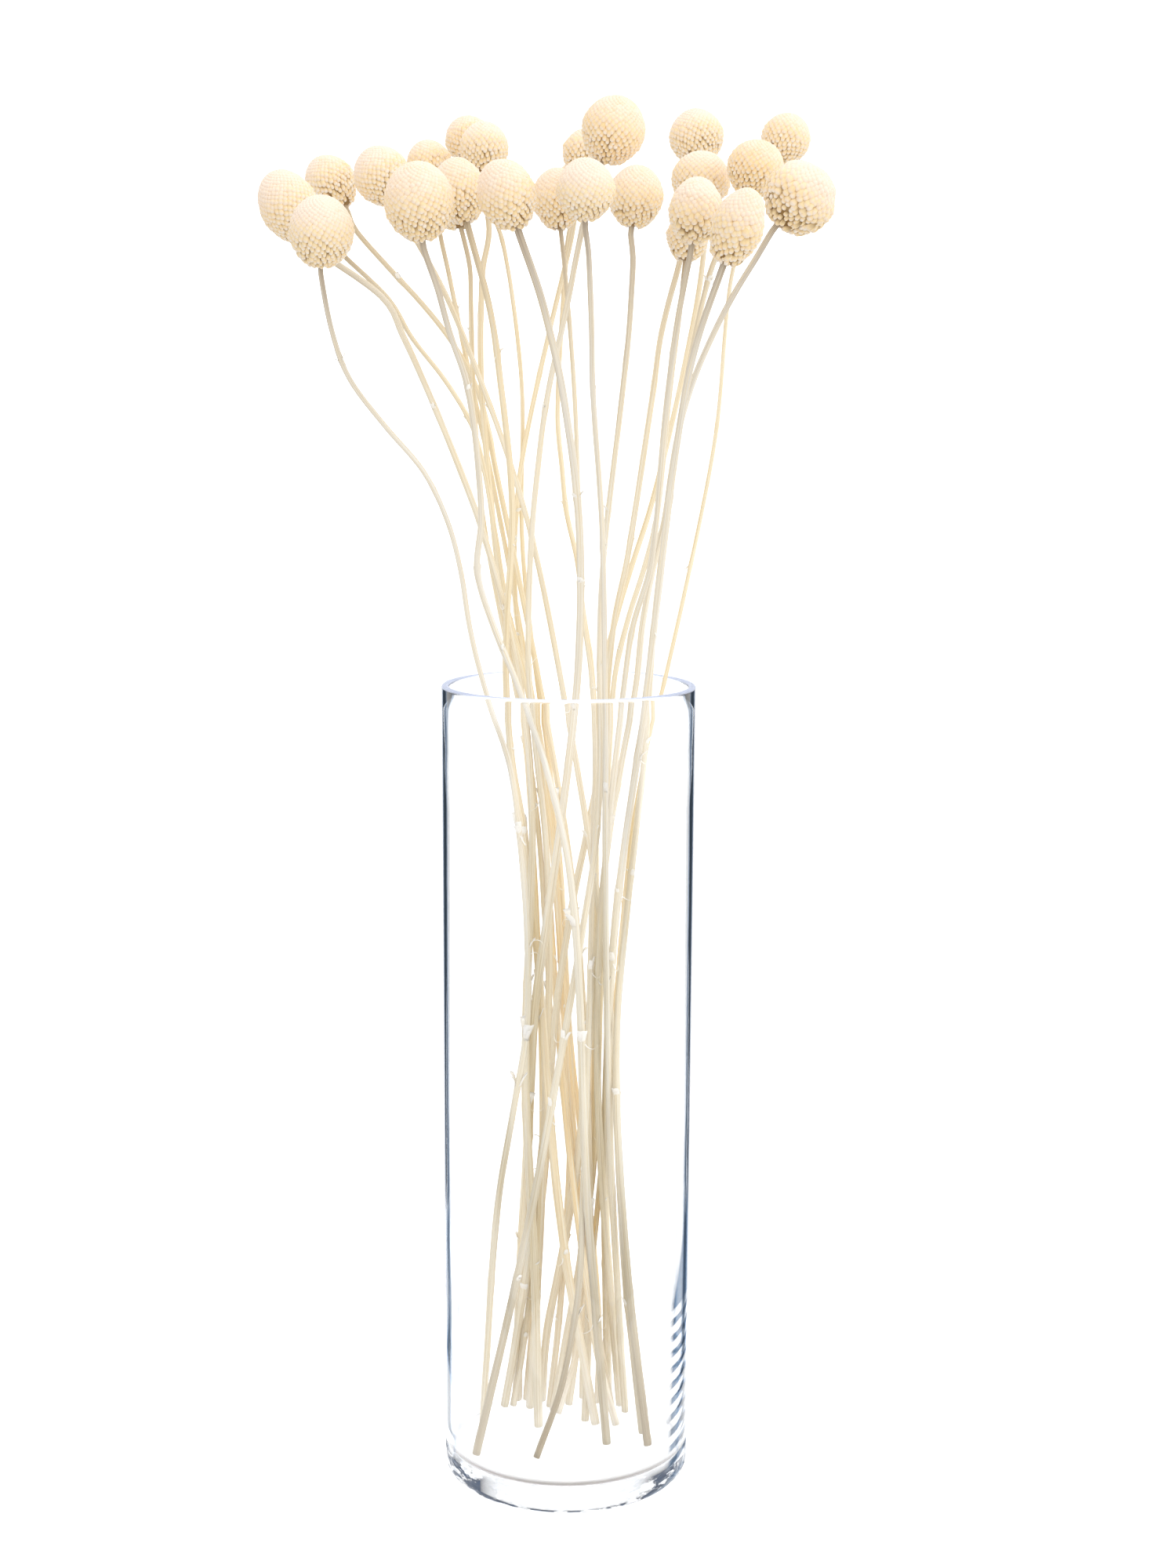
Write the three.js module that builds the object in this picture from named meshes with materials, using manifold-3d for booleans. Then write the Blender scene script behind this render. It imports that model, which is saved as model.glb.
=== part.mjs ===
// A bouquet of bleached billy buttons (craspedia) standing in a clear glass cylinder vase.
// Millimetres, +Z up, +X to the right and +Y away from the viewer, origin at the middle of the
// vase's underside. The stems stand on the vase's floor, cross at a waist, lean on the rim and
// fan out above it. Every stem and every flower head is a solid of its own.
import * as THREE from 'three';
import { ConvexGeometry } from 'three/addons/geometries/ConvexGeometry.js';
import { mergeVertices } from 'three/addons/utils/BufferGeometryUtils.js';
import Module from 'manifold-3d';

// Vase: a straight 12 cm cylinder with a heavy floor and a fire-polished rim.
const VASE_HEIGHT = 390;
const VASE_RADIUS = 60;
const VASE_WALL = 3.5;
// The wall is blown thinner between the rim and the foot: [height, thickness].
const VASE_THINNER = [[352, 2.3], [320, 1.9], [190, 1.9], [100, 2.4], [50, 3.1]];
const VASE_FLOOR = 13;
const VASE_FOOT_ROUND = 5;
const VASE_INNER_ROUND = 3;
const VASE_SIDES = 48;
const ROUND_STEPS = 3;
const RIM_STEPS = 4;
const INNER_RADIUS = VASE_RADIUS - VASE_WALL;
const MERGE_WITHIN = 1e-4;

// Stems: slightly tapered, stouter in the vase than above it, five-sided, with a ring of corners
// at each of these heights.
const STEM_SIDES = 5;
const STEM_TAPER = 0.85;
const STEM_STOUTER = 0.3;
const STOUTER_SPAN = 250;
const FOOT_GAP = 0.5;
const FOOT_LEVEL = VASE_FLOOR + FOOT_GAP;
const RIM_LEVEL = VASE_HEIGHT + 2;
const LEVELS_IN_VASE = [FOOT_LEVEL, 50, 95, 140, 185, 230, 275, 315, 355, RIM_LEVEL];
const LEVELS_ABOVE = [420, 445, 468, 490, 510, 530, 550, 568, 584, 602, 620];
const LEVEL_BELOW_NECK = 7;
const BEND_BELOW_NECK = 3;
const STEM_GAP = 0.5;
const GLASS_GAP = 0.5;
const SOCKET_DEPTH = 6;
const SOCKET_GAP = 0.35;
const SOCKET_SIDES = 7;
const NECK_BELOW_HEAD = 1.5;

// Heads: balls of florets set on a sunflower spiral, each a knob with a crease round it.
const FLORETS = 62;
const CREASE = 0.86;
const UNDERSIDE_PINCH = 0.1;
const GOLDEN_ANGLE = Math.PI * (3 - Math.sqrt(5));

// Bending clear: how often the stems are pushed apart, how many of those rounds end with a
// smoothing, the step between tested heights, and how finely a height is found on a curve.
const CLEARING_PASSES = 500;
const SMOOTHING_PASSES = 380;
const SCAN_STEP = 4;
const SMOOTHING = 0.25;
const HEAD_GAP = 1;
const SMALLEST_APART = 1e-6;
const HALVINGS = 40;

// The bouquet, from left to right. gauge is the stem's diameter at the foot; foot is [x, y] on
// the vase's floor; bends are [height, x] from the foot up; rimDepth is y where the stem passes
// the rim. at, wide and tall are the head's centre, girth and length, and lean is how far its
// axis goes in x and in y for each millimetre of height.
const STEMS = [
  { gauge: 3.4, foot: [-14, 12], rimDepth: 0,
    bends: [[105, -15], [185, -18], [330, -15], [383, -20], [433, -31], [472, -43], [546, -74],
      [568, -86], [577, -93], [585, -102]],
    at: [-127, -5, 607], wide: 27, tall: 36, lean: [-0.55, -0.05] },
  { gauge: 3.0, foot: [10, 18], rimDepth: 30,
    bends: [[99, 12], [259, 5], [379, -13], [499, -38], [522, -43], [553, -60], [603, -105]],
    at: [-117, 75, 625], wide: 25, tall: 30, lean: [-0.6, 0.3] },
  { gauge: 2.6, foot: [-24, 44], rimDepth: 18,
    bends: [[109, -16], [177, -14], [359, -22], [430, -31], [503, -44], [519, -51], [532, -60],
      [551, -75], [564, -82]],
    at: [-114, 30, 599], wide: 23, tall: 25, lean: [-0.7, 0.1] },
  { gauge: 2.6, foot: [-42, 7], rimDepth: -36,
    bends: [[122, -35], [162, -30], [228, -19], [317, -22], [367, -29], [402, -41], [463, -52],
      [495, -67], [515, -85], [528, -94], [540, -100], [556, -103]],
    at: [-105, -72, 591], wide: 28, tall: 32, lean: [0.05, -0.2] },
  { gauge: 3.0, foot: [38, 5], rimDepth: 22,
    bends: [[103, 27], [250, 17], [380, -3], [470, -22], [544, -48], [574, -61]],
    at: [-89, 40, 625], wide: 27, tall: 30, lean: [-0.5, 0.1] },
  { gauge: 2.6, foot: [-9, 35], rimDepth: 38,
    bends: [[135, -1], [176, 0], [292, -6], [351, -14], [477, -36], [548, -51], [583, -58]],
    at: [-69, 70, 634], wide: 22, tall: 24, lean: [-0.25, 0.2] },
  { gauge: 3.2, foot: [20, -7], rimDepth: -34,
    bends: [[153, 9], [256, 5], [310, 0], [368, -14], [445, -41], [468, -39], [526, -44], [555, -53],
      [579, -59]],
    at: [-63, -78, 603], wide: 30, tall: 35, lean: [-0.08, -0.25] },
  { gauge: 2.6, foot: [-28, 40], rimDepth: 30,
    bends: [[92, -17], [184, -9], [297, -13], [356, -20], [466, -41], [511, -45], [548, -47],
      [590, -49]],
    at: [-56, 55, 613], wide: 22, tall: 25, lean: [-0.3, 0.15] },
  { gauge: 2.4, foot: [16, 40], rimDepth: 40,
    bends: [[49, 17], [91, 14], [215, 0], [300, -5], [450, -23], [531, -24], [602, -35], [620, -43]],
    at: [-51, 95, 648], wide: 24, tall: 25, lean: [-0.35, 0.3] },
  { gauge: 3.4, foot: [14, 16], rimDepth: -2,
    bends: [[119, -4], [303, -20], [362, -28], [406, -29], [474, -26], [526, -31], [561, -36]],
    at: [-50, -8, 614], wide: 25, tall: 31, lean: [-0.25, 0] },
  { gauge: 3.2, foot: [23, 38], rimDepth: 28,
    bends: [[59, 14], [156, 1], [317, -13], [376, -22], [436, -37], [474, -42], [544, -48], [610, -46]],
    at: [-42, 60, 640], wide: 24, tall: 27, lean: [0.08, 0.2] },
  { gauge: 3.8, foot: [-26, 45], rimDepth: -30,
    bends: [[162, -18], [222, -16], [315, -4], [402, 5], [468, 5], [510, 0], [538, -5], [565, -12],
      [582, -17]],
    at: [-26, -78, 606], wide: 25, tall: 32, lean: [-0.33, -0.3] },
  { gauge: 2.4, foot: [-14, -23], rimDepth: 8,
    bends: [[67, 3], [94, 6], [305, 12], [380, 12], [419, 7], [526, 2], [585, -3]],
    at: [-6, 20, 613], wide: 24, tall: 30, lean: [-0.1, 0.05] },
  { gauge: 2.8, foot: [25, 14], rimDepth: 36,
    bends: [[43, 17], [124, 5], [207, -5], [352, -16], [428, -27], [483, -25], [517, -19], [557, -10],
      [600, 0]],
    at: [6, 78, 640], wide: 22, tall: 25, lean: [0.15, 0.3] },
  { gauge: 2.8, foot: [30, 30], rimDepth: -34,
    bends: [[228, 21], [461, 16], [525, 11], [556, 10], [588, 8]],
    at: [7, -80, 608], wide: 25, tall: 28, lean: [0, -0.3] },
  { gauge: 3.0, foot: [-19, 34], rimDepth: -4,
    bends: [[140, -13], [291, -11], [391, -20], [451, -19], [485, -16], [522, -11], [562, -2],
      [600, 6]],
    at: [19, -15, 640], wide: 29, tall: 32, lean: [0.33, -0.05] },
  { gauge: 3.0, foot: [-43, -21], rimDepth: -18,
    bends: [[152, -14], [323, 14], [345, 15], [436, 15], [525, 24], [557, 27], [590, 28]],
    at: [29, -28, 610], wide: 25, tall: 29, lean: [0.12, -0.1] },
  { gauge: 3.0, foot: [27, 38], rimDepth: -26,
    bends: [[176, 16], [247, 15], [302, 18], [384, 25], [408, 28], [422, 30], [434, 34], [453, 38],
      [491, 41], [518, 43], [554, 47]],
    at: [54, -62, 601], wide: 23, tall: 31, lean: [0.1, -0.25] },
  { gauge: 2.8, foot: [-7, 31], rimDepth: 10,
    bends: [[97, 6], [139, 11], [277, 16], [393, 21], [409, 24], [442, 34],
      [466, 40], [525, 46], [567, 51]],
    at: [54, 8, 596], wide: 20, tall: 26, lean: [0.1, 0] },
  { gauge: 3.0, foot: [1, 38], rimDepth: 30,
    bends: [[50, 6], [176, 14], [324, 14], [383, 16], [398, 18], [415, 22], [434, 27], [458, 35],
      [479, 41], [525, 52], [583, 63], [616, 65]],
    at: [61, 88, 649], wide: 27, tall: 29, lean: [-0.13, 0.3] },
  { gauge: 3.2, foot: [-32, 36], rimDepth: 16,
    bends: [[162, -12], [252, -2], [358, 17], [409, 20], [445, 27], [525, 39], [554, 43], [589, 52]],
    at: [61, 42, 624], wide: 28, tall: 29, lean: [0.3, 0.15] },
  { gauge: 3.4, foot: [21, 45], rimDepth: -36,
    bends: [[163, 18], [264, 21], [315, 26], [390, 35], [438, 40], [503, 47], [540, 53],
      [560, 59]],
    at: [70, -92, 592], wide: 22, tall: 36, lean: [0.35, -0.3] },
  { gauge: 3.0, foot: [40, -9], rimDepth: 8,
    bends: [[109, 29], [188, 24], [226, 24], [361, 37], [417, 40], [529, 54], [584, 66], [597, 72]],
    at: [85, 18, 627], wide: 27, tall: 28, lean: [0.45, 0.05] },
  { gauge: 3.2, foot: [-13, 43], rimDepth: -14,
    bends: [[50, -9], [130, 5], [325, 22], [385, 32], [400, 33], [420, 35], [444, 39], [461, 43],
      [491, 47], [519, 52], [536, 58], [561, 69], [585, 83]],
    at: [100, -42, 609], wide: 32, tall: 33, lean: [0.8, -0.15] },
  { gauge: 2.2, foot: [-4, 27], rimDepth: 22,
    bends: [[46, 5], [89, 12], [307, 31], [353, 38], [412, 51], [505, 69], [550, 73], [571, 75],
      [595, 80]],
    at: [102, 58, 645], wide: 24, tall: 26, lean: [0.45, 0.2] },
  { gauge: 2.8, foot: [8, 46], rimDepth: 42,
    bends: [[150, 11], [300, 13], [381, 12], [417, 7], [454, 2], [469, -2], [488, -4], [503, -6],
      [534, -6], [570, -4], [600, -2]],
    at: [3, 108, 630], wide: 21, tall: 23, lean: [0.12, 0.3] },
];

const wasm = await Module();
wasm.setup();

const glass = new THREE.MeshStandardMaterial({
  color: 0xe6eef5, roughness: 0.03, metalness: 0, transparent: true, opacity: 0.25,
});
const stemStraw = new THREE.MeshStandardMaterial({ color: 0xeadcb8, roughness: 0.7, metalness: 0 });
const floretCream = new THREE.MeshStandardMaterial({ color: 0xf5dfb8, roughness: 0.85, metalness: 0 });

function namedMesh(name, geometry, material) {
  const mesh = new THREE.Mesh(geometry, material);
  mesh.name = name;
  return mesh;
}

function positionsOnly(geometry) {
  geometry.deleteAttribute('normal');
  geometry.deleteAttribute('uv');
  return mergeVertices(geometry, MERGE_WITHIN);
}

function toSolid(geometry) {
  return new wasm.Manifold(new wasm.Mesh({
    numProp: 3,
    vertProperties: new Float32Array(geometry.attributes.position.array),
    triVerts: new Uint32Array(geometry.index.array),
  }));
}

function toGeometry(solid) {
  const mesh = solid.getMesh();
  const geometry = new THREE.BufferGeometry();
  geometry.setAttribute('position', new THREE.BufferAttribute(mesh.vertProperties, 3));
  geometry.setIndex(new THREE.BufferAttribute(mesh.triVerts, 1));
  return geometry;
}

// The vase: one lathe profile that runs under the floor, up the outside, over the rim and back.

function arcPoints(centreR, centreZ, radius, from, to, steps = ROUND_STEPS) {
  const points = [];
  for (let step = 0; step <= steps; step++) {
    const angle = from + (to - from) * step / steps;
    points.push(new THREE.Vector2(centreR + radius * Math.cos(angle), centreZ + radius * Math.sin(angle)));
  }
  return points;
}

function vaseGeometry() {
  const rimRound = VASE_WALL / 2;
  const profile = [
    new THREE.Vector2(0, 0),
    ...arcPoints(VASE_RADIUS - VASE_FOOT_ROUND, VASE_FOOT_ROUND, VASE_FOOT_ROUND, -Math.PI / 2, 0),
    ...arcPoints(VASE_RADIUS - rimRound, VASE_HEIGHT - rimRound, rimRound, 0, Math.PI, RIM_STEPS),
    ...VASE_THINNER.map(([z, wall]) => new THREE.Vector2(VASE_RADIUS - wall, z)),
    ...arcPoints(INNER_RADIUS - VASE_INNER_ROUND, VASE_FLOOR + VASE_INNER_ROUND,
      VASE_INNER_ROUND, 0, -Math.PI / 2),
    new THREE.Vector2(0, VASE_FLOOR),
  ];
  const geometry = positionsOnly(new THREE.LatheGeometry(profile, VASE_SIDES));
  geometry.rotateX(Math.PI / 2);
  return geometry;
}

// Head places: the axis, the neck just under the florets, and the stem's tip in its socket.

function headAxis(stem) {
  return new THREE.Vector3(stem.lean[0], stem.lean[1], 1).normalize();
}

function alongAxis(stem, distance) {
  return new THREE.Vector3(...stem.at).addScaledVector(headAxis(stem), distance);
}

// Stem paths: x follows the drawn bends, y goes straight to the rim and flares out above it.

function depthAt(stem, z) {
  const slope = (stem.rimDepth - stem.foot[1]) / (RIM_LEVEL - FOOT_LEVEL);
  const above = z - RIM_LEVEL;
  if (above <= 0) return stem.rimDepth + slope * above;
  const rise = stem.at[2] - RIM_LEVEL;
  const flare = (stem.at[1] - stem.rimDepth - slope * rise) / (rise * rise);
  return stem.rimDepth + slope * above + flare * above * above;
}

function drawnCurve(stem, neck) {
  const points = [new THREE.Vector3(stem.foot[0], stem.foot[1], FOOT_LEVEL)];
  for (const [z, x] of stem.bends) {
    if (z < neck.z - BEND_BELOW_NECK) points.push(new THREE.Vector3(x, depthAt(stem, z), z));
  }
  points.push(neck);
  return new THREE.CatmullRomCurve3(points, false, 'centripetal');
}

function pointAtHeight(curve, z) {
  let low = 0;
  let high = 1;
  for (let halving = 0; halving < HALVINGS; halving++) {
    const middle = (low + high) / 2;
    if (curve.getPoint(middle).z < z) low = middle;
    else high = middle;
  }
  return curve.getPoint(low);
}

function stemStations(stem) {
  const neck = alongAxis(stem, -stem.tall / 2 - NECK_BELOW_HEAD);
  const tip = alongAxis(stem, -stem.tall / 2 + SOCKET_DEPTH - SOCKET_GAP);
  const curve = drawnCurve(stem, neck);
  const levels = [...LEVELS_IN_VASE, ...LEVELS_ABOVE].filter((z) => z < neck.z - LEVEL_BELOW_NECK);
  return [...levels.map((z) => pointAtHeight(curve, z)), neck, tip];
}

// Bending clear: at every height, stems that come too close push each other sideways, the glass
// and the other heads push them too, and each push moves the two stations round that height.

function radiusAt(stem, z) {
  const share = (z - FOOT_LEVEL) / (stem.at[2] - FOOT_LEVEL);
  const low = Math.min(1, Math.max(0, (RIM_LEVEL - z) / STOUTER_SPAN));
  return stem.gauge / 2 * (1 + (STEM_TAPER - 1) * share) * (1 + STEM_STOUTER * low);
}

function placeAt(path, z) {
  let index = 0;
  while (index < path.length - 2 && path[index + 1].z < z) index++;
  const low = path[index];
  const high = path[index + 1];
  const share = (z - low.z) / (high.z - low.z);
  const run = Math.hypot(high.x - low.x, high.y - low.y) / (high.z - low.z);
  return {
    index,
    share,
    x: low.x + (high.x - low.x) * share,
    y: low.y + (high.y - low.y) * share,
    stretch: Math.hypot(1, run),
  };
}

function push(path, place, dx, dy) {
  const ends = [[place.index, 1 - place.share], [place.index + 1, place.share]];
  for (const [index, weight] of ends) {
    if (index >= path.length - 2) continue;
    path[index].x += dx * weight;
    path[index].y += dy * weight;
  }
}

function pushStemsApart(paths, z) {
  const here = [];
  for (let i = 0; i < STEMS.length; i++) {
    if (z < paths[i].at(-1).z) here.push({ i, place: placeAt(paths[i], z) });
  }
  for (let m = 0; m < here.length; m++) {
    for (let n = m + 1; n < here.length; n++) {
      const a = here[m];
      const b = here[n];
      const dx = b.place.x - a.place.x;
      const dy = b.place.y - a.place.y;
      const apart = Math.hypot(dx, dy);
      const needed = radiusAt(STEMS[a.i], z) * a.place.stretch
        + radiusAt(STEMS[b.i], z) * b.place.stretch + STEM_GAP;
      if (apart >= needed) continue;
      const move = (needed - apart) / 2 / Math.max(apart, SMALLEST_APART);
      push(paths[a.i], a.place, -dx * move, -dy * move);
      push(paths[b.i], b.place, dx * move, dy * move);
    }
  }
}

function pushOffGlass(paths, z) {
  for (let i = 0; i < STEMS.length; i++) {
    const place = placeAt(paths[i], z);
    const corner = Math.max(0, VASE_FLOOR + VASE_INNER_ROUND - z);
    const room = INNER_RADIUS - corner - radiusAt(STEMS[i], z) * place.stretch - GLASS_GAP;
    const out = Math.hypot(place.x, place.y);
    if (out > room) push(paths[i], place, place.x * (room / out - 1), place.y * (room / out - 1));
  }
}

function pushOffHeads(paths, z) {
  for (let i = 0; i < STEMS.length; i++) {
    if (z > paths[i].at(-2).z) continue;
    for (let j = 0; j < STEMS.length; j++) {
      const head = STEMS[j];
      const size = Math.max(head.wide, head.tall) / 2 + HEAD_GAP;
      const rise = Math.abs(z - head.at[2]);
      if (i === j || rise >= size) continue;
      const place = placeAt(paths[i], z);
      const dx = place.x - head.at[0];
      const dy = place.y - head.at[1];
      const apart = Math.hypot(dx, dy);
      const needed = Math.sqrt(size * size - rise * rise) + radiusAt(STEMS[i], z) * place.stretch;
      if (apart >= needed) continue;
      const move = (needed - apart) / Math.max(apart, SMALLEST_APART);
      push(paths[i], place, dx * move, dy * move);
    }
  }
}

function smooth(paths, drawn) {
  for (let i = 0; i < paths.length; i++) {
    const shift = paths[i].map((point, k) => point.clone().sub(drawn[i][k]));
    for (let k = 1; k < paths[i].length - 2; k++) {
      const mean = shift[k - 1].clone().add(shift[k + 1]).multiplyScalar(0.5);
      paths[i][k].copy(drawn[i][k]).add(shift[k].clone().lerp(mean, SMOOTHING));
    }
  }
}

function bentClear(drawn) {
  const paths = drawn.map((path) => path.map((point) => point.clone()));
  for (let pass = 0; pass < CLEARING_PASSES; pass++) {
    for (let z = FOOT_LEVEL; z < LEVELS_ABOVE.at(-1); z += SCAN_STEP) {
      pushStemsApart(paths, z);
      if (z <= RIM_LEVEL) pushOffGlass(paths, z);
      else pushOffHeads(paths, z);
    }
    if (pass < SMOOTHING_PASSES) smooth(paths, drawn);
  }
  return paths;
}

// A stem: a tapered cylinder whose rows of corners are moved to the stations of its path.

function stationFrame(path, k) {
  const along = path[Math.min(k + 1, path.length - 1)].clone().sub(path[Math.max(k - 1, 0)]).normalize();
  const side = new THREE.Vector3(0, 1, 0).cross(along).normalize();
  return { side, back: along.clone().cross(side) };
}

function stemGeometry(stem, path) {
  const rows = path.length - 1;
  const geometry = positionsOnly(new THREE.CylinderGeometry(1, 1, rows, STEM_SIDES, rows));
  const position = geometry.attributes.position;
  for (let v = 0; v < position.count; v++) {
    const row = Math.round(position.getY(v) + rows / 2);
    const { side, back } = stationFrame(path, row);
    const radius = radiusAt(stem, path[row].z);
    const corner = path[row].clone()
      .addScaledVector(side, position.getX(v) * radius)
      .addScaledVector(back, -position.getZ(v) * radius);
    position.setXYZ(v, corner.x, corner.y, corner.z);
  }
  return geometry;
}

// A head: florets on a spiral, joined by their hull, then each hull triangle's middle is sunk as
// the crease between three florets, so that every floret stands up as a knob.

function floretDirections(turn) {
  const directions = [];
  for (let i = 0; i < FLORETS; i++) {
    const height = 1 - 2 * (i + 0.5) / FLORETS;
    const ring = Math.sqrt(1 - height * height);
    const angle = i * GOLDEN_ANGLE + turn;
    directions.push(new THREE.Vector3(ring * Math.cos(angle), ring * Math.sin(angle), height));
  }
  return directions;
}

function creasedBall(directions) {
  const hull = positionsOnly(new ConvexGeometry(directions));
  const index = hull.index.array;
  const corner = (k) => new THREE.Vector3().fromBufferAttribute(hull.attributes.position, index[k]);
  const faceOfEdge = new Map();
  const creases = [];
  for (let t = 0; t < index.length; t += 3) {
    for (let k = 0; k < 3; k++) faceOfEdge.set(`${index[t + k]}>${index[t + (k + 1) % 3]}`, t / 3);
    creases.push(corner(t).add(corner(t + 1)).add(corner(t + 2)).normalize().multiplyScalar(CREASE));
  }
  const points = [];
  for (let t = 0; t < index.length; t += 3) {
    for (let k = 0; k < 3; k++) {
      const from = index[t + k];
      const to = index[t + (k + 1) % 3];
      points.push(corner(t + k), creases[faceOfEdge.get(`${to}>${from}`)], creases[t / 3]);
    }
  }
  const geometry = new THREE.BufferGeometry().setFromPoints(points);
  return mergeVertices(geometry, MERGE_WITHIN);
}

function shapeHead(geometry, stem) {
  const position = geometry.attributes.position;
  for (let v = 0; v < position.count; v++) {
    const point = new THREE.Vector3().fromBufferAttribute(position, v);
    const girth = stem.wide / 2 * (1 - UNDERSIDE_PINCH * Math.max(0, -point.z) ** 2);
    position.setXYZ(v, point.x * girth, point.y * girth, point.z * stem.tall / 2);
  }
  geometry.applyQuaternion(uprightTo(headAxis(stem)));
  geometry.translate(...stem.at);
  return geometry;
}

function uprightTo(axis) {
  return new THREE.Quaternion().setFromUnitVectors(new THREE.Vector3(0, 0, 1), axis);
}

function socketGeometry(stem) {
  const radius = stem.gauge / 2 + SOCKET_GAP;
  const length = stem.tall / 2;
  const socket = positionsOnly(new THREE.CylinderGeometry(radius, radius, length, SOCKET_SIDES));
  socket.rotateX(Math.PI / 2);
  socket.translate(0, 0, SOCKET_DEPTH - stem.tall / 2 - length / 2);
  socket.applyQuaternion(uprightTo(headAxis(stem)));
  socket.translate(...stem.at);
  return socket;
}

function headGeometry(stem, turn) {
  const ball = shapeHead(creasedBall(floretDirections(turn)), stem);
  return toGeometry(toSolid(ball).subtract(toSolid(socketGeometry(stem))));
}

const paths = bentClear(STEMS.map(stemStations));
const bouquet = new THREE.Group();
bouquet.add(namedMesh('vase', vaseGeometry(), glass));
STEMS.forEach((stem, i) => {
  const number = String(i + 1).padStart(2, '0');
  bouquet.add(namedMesh(`stem_${number}`, stemGeometry(stem, paths[i]), stemStraw));
  bouquet.add(namedMesh(`head_${number}`, headGeometry(stem, i), floretCream));
});

export default bouquet;
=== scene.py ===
"""A bouquet of bleached billy buttons in a clear glass cylinder vase, dressed round its frame.

Metres, +Z up, +X to the right and +Y away from the viewer, origin under the middle of the vase.
The frame's own stems and heads say where everything goes: a stem's rings of corners give its
path and gauge, and a head's corners along its stem's end give its axis, girth and length.
"""

import math
import random

import bmesh
import bpy
from mathutils import Matrix, Vector, noise


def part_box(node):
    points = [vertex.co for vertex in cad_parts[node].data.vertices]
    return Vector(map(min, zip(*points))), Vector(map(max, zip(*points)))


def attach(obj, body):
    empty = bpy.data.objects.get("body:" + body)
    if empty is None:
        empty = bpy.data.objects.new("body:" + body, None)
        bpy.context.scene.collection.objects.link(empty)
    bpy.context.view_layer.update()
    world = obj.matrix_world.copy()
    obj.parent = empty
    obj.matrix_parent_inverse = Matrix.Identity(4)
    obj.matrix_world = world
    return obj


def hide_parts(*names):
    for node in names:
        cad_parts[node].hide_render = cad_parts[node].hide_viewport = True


bl_info = {
    "name": "Billy buttons bouquet",
    "version": (1, 0, 0),
    "blender": (4, 5, 0),
    "location": "View3D > Sidebar > Bouquet",
    "description": "Models a bouquet of bleached billy buttons in a clear glass vase",
    "category": "Add Mesh",
}

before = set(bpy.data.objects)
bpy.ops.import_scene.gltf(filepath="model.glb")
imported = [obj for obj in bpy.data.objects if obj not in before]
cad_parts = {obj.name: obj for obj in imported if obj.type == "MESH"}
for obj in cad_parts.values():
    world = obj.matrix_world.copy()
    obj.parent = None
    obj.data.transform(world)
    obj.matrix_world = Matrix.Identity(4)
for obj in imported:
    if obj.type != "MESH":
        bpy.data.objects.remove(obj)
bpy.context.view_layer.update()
vase_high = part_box("vase")[1]

MM = 0.001
BODY = "root"
NUMBERS = sorted(name.split("_")[1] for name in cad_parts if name.startswith("stem_"))
VASE_RADIUS = vase_high.x
RIM_LEVEL = vase_high.z
# A stem's corners are of one ring while each is less than this above the one before it.
RING_GAP = 1.5 * MM
GOLDEN_ANGLE = math.pi * (3 - math.sqrt(5))
WHITE = (1, 1, 1)
BLACK = (0, 0, 0)

# How each head differs from the usual cream: +1 is warm and golden, -1 is pale and greyish.
HEAD_WARMTH = {
    "02": 0.3, "04": -0.3, "06": 0.5, "07": 0.4, "09": 0.4, "10": 0.5, "12": 0.4, "13": 0.5,
    "14": 0.5, "15": -0.5, "16": 0.6, "17": 0.4, "18": -0.1, "19": -0.5, "20": -0.1, "22": 0.2,
    "23": 0.9, "24": -0.2, "25": 0.3,
}
# Heads whose florets are coarser and looser than the others', and how much.
HEAD_COARSENESS = {"07": 1.04, "12": 1.05, "18": 1.1, "22": 1.08, "24": 1.18}
# Heads that dried out of round, and how far their hollows and swellings go, in millimetres.
HEAD_LUMPS = {"12": 0.4, "15": 0.5, "18": 0.7, "22": 0.6, "24": 1.5}
USUAL_LUMPS = 0.25
# What each corner of a floret and of a stem carries for the materials.
FLORET_LAYERS = ("tip", "tone", "low")
STEM_LAYERS = ("flake", "tone", "neck")
# Scars and torn leaf bases that stand out, by stem: millimetres along the stem from its foot.
PLAIN_SCARS = {
    "04": (185, 213, 313, 549), "07": (209, 265, 440, 522), "08": (261,), "10": (306, 448),
    "12": (214, 436, 476), "13": (71, 240), "17": (212,), "22": (249,), "23": (567,),
}
# Stems that kept more of their yellow, and how much.
STEM_WARMTH = {"03": 0.5, "06": 0.4, "09": 1.0, "10": 0.4, "11": 0.9, "14": 0.6, "25": 0.8}
# The vase's wall is thick at its rim and its foot and blown thinner between them:
# height and thickness, in millimetres.
VASE_WALL = ((388, 3.5), (366, 2.3), (340, 1.6), (190, 1.6), (120, 2.3), (60, 3.2), (19, 3.5))


# ---------------------------------------------------------------- settings


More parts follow.
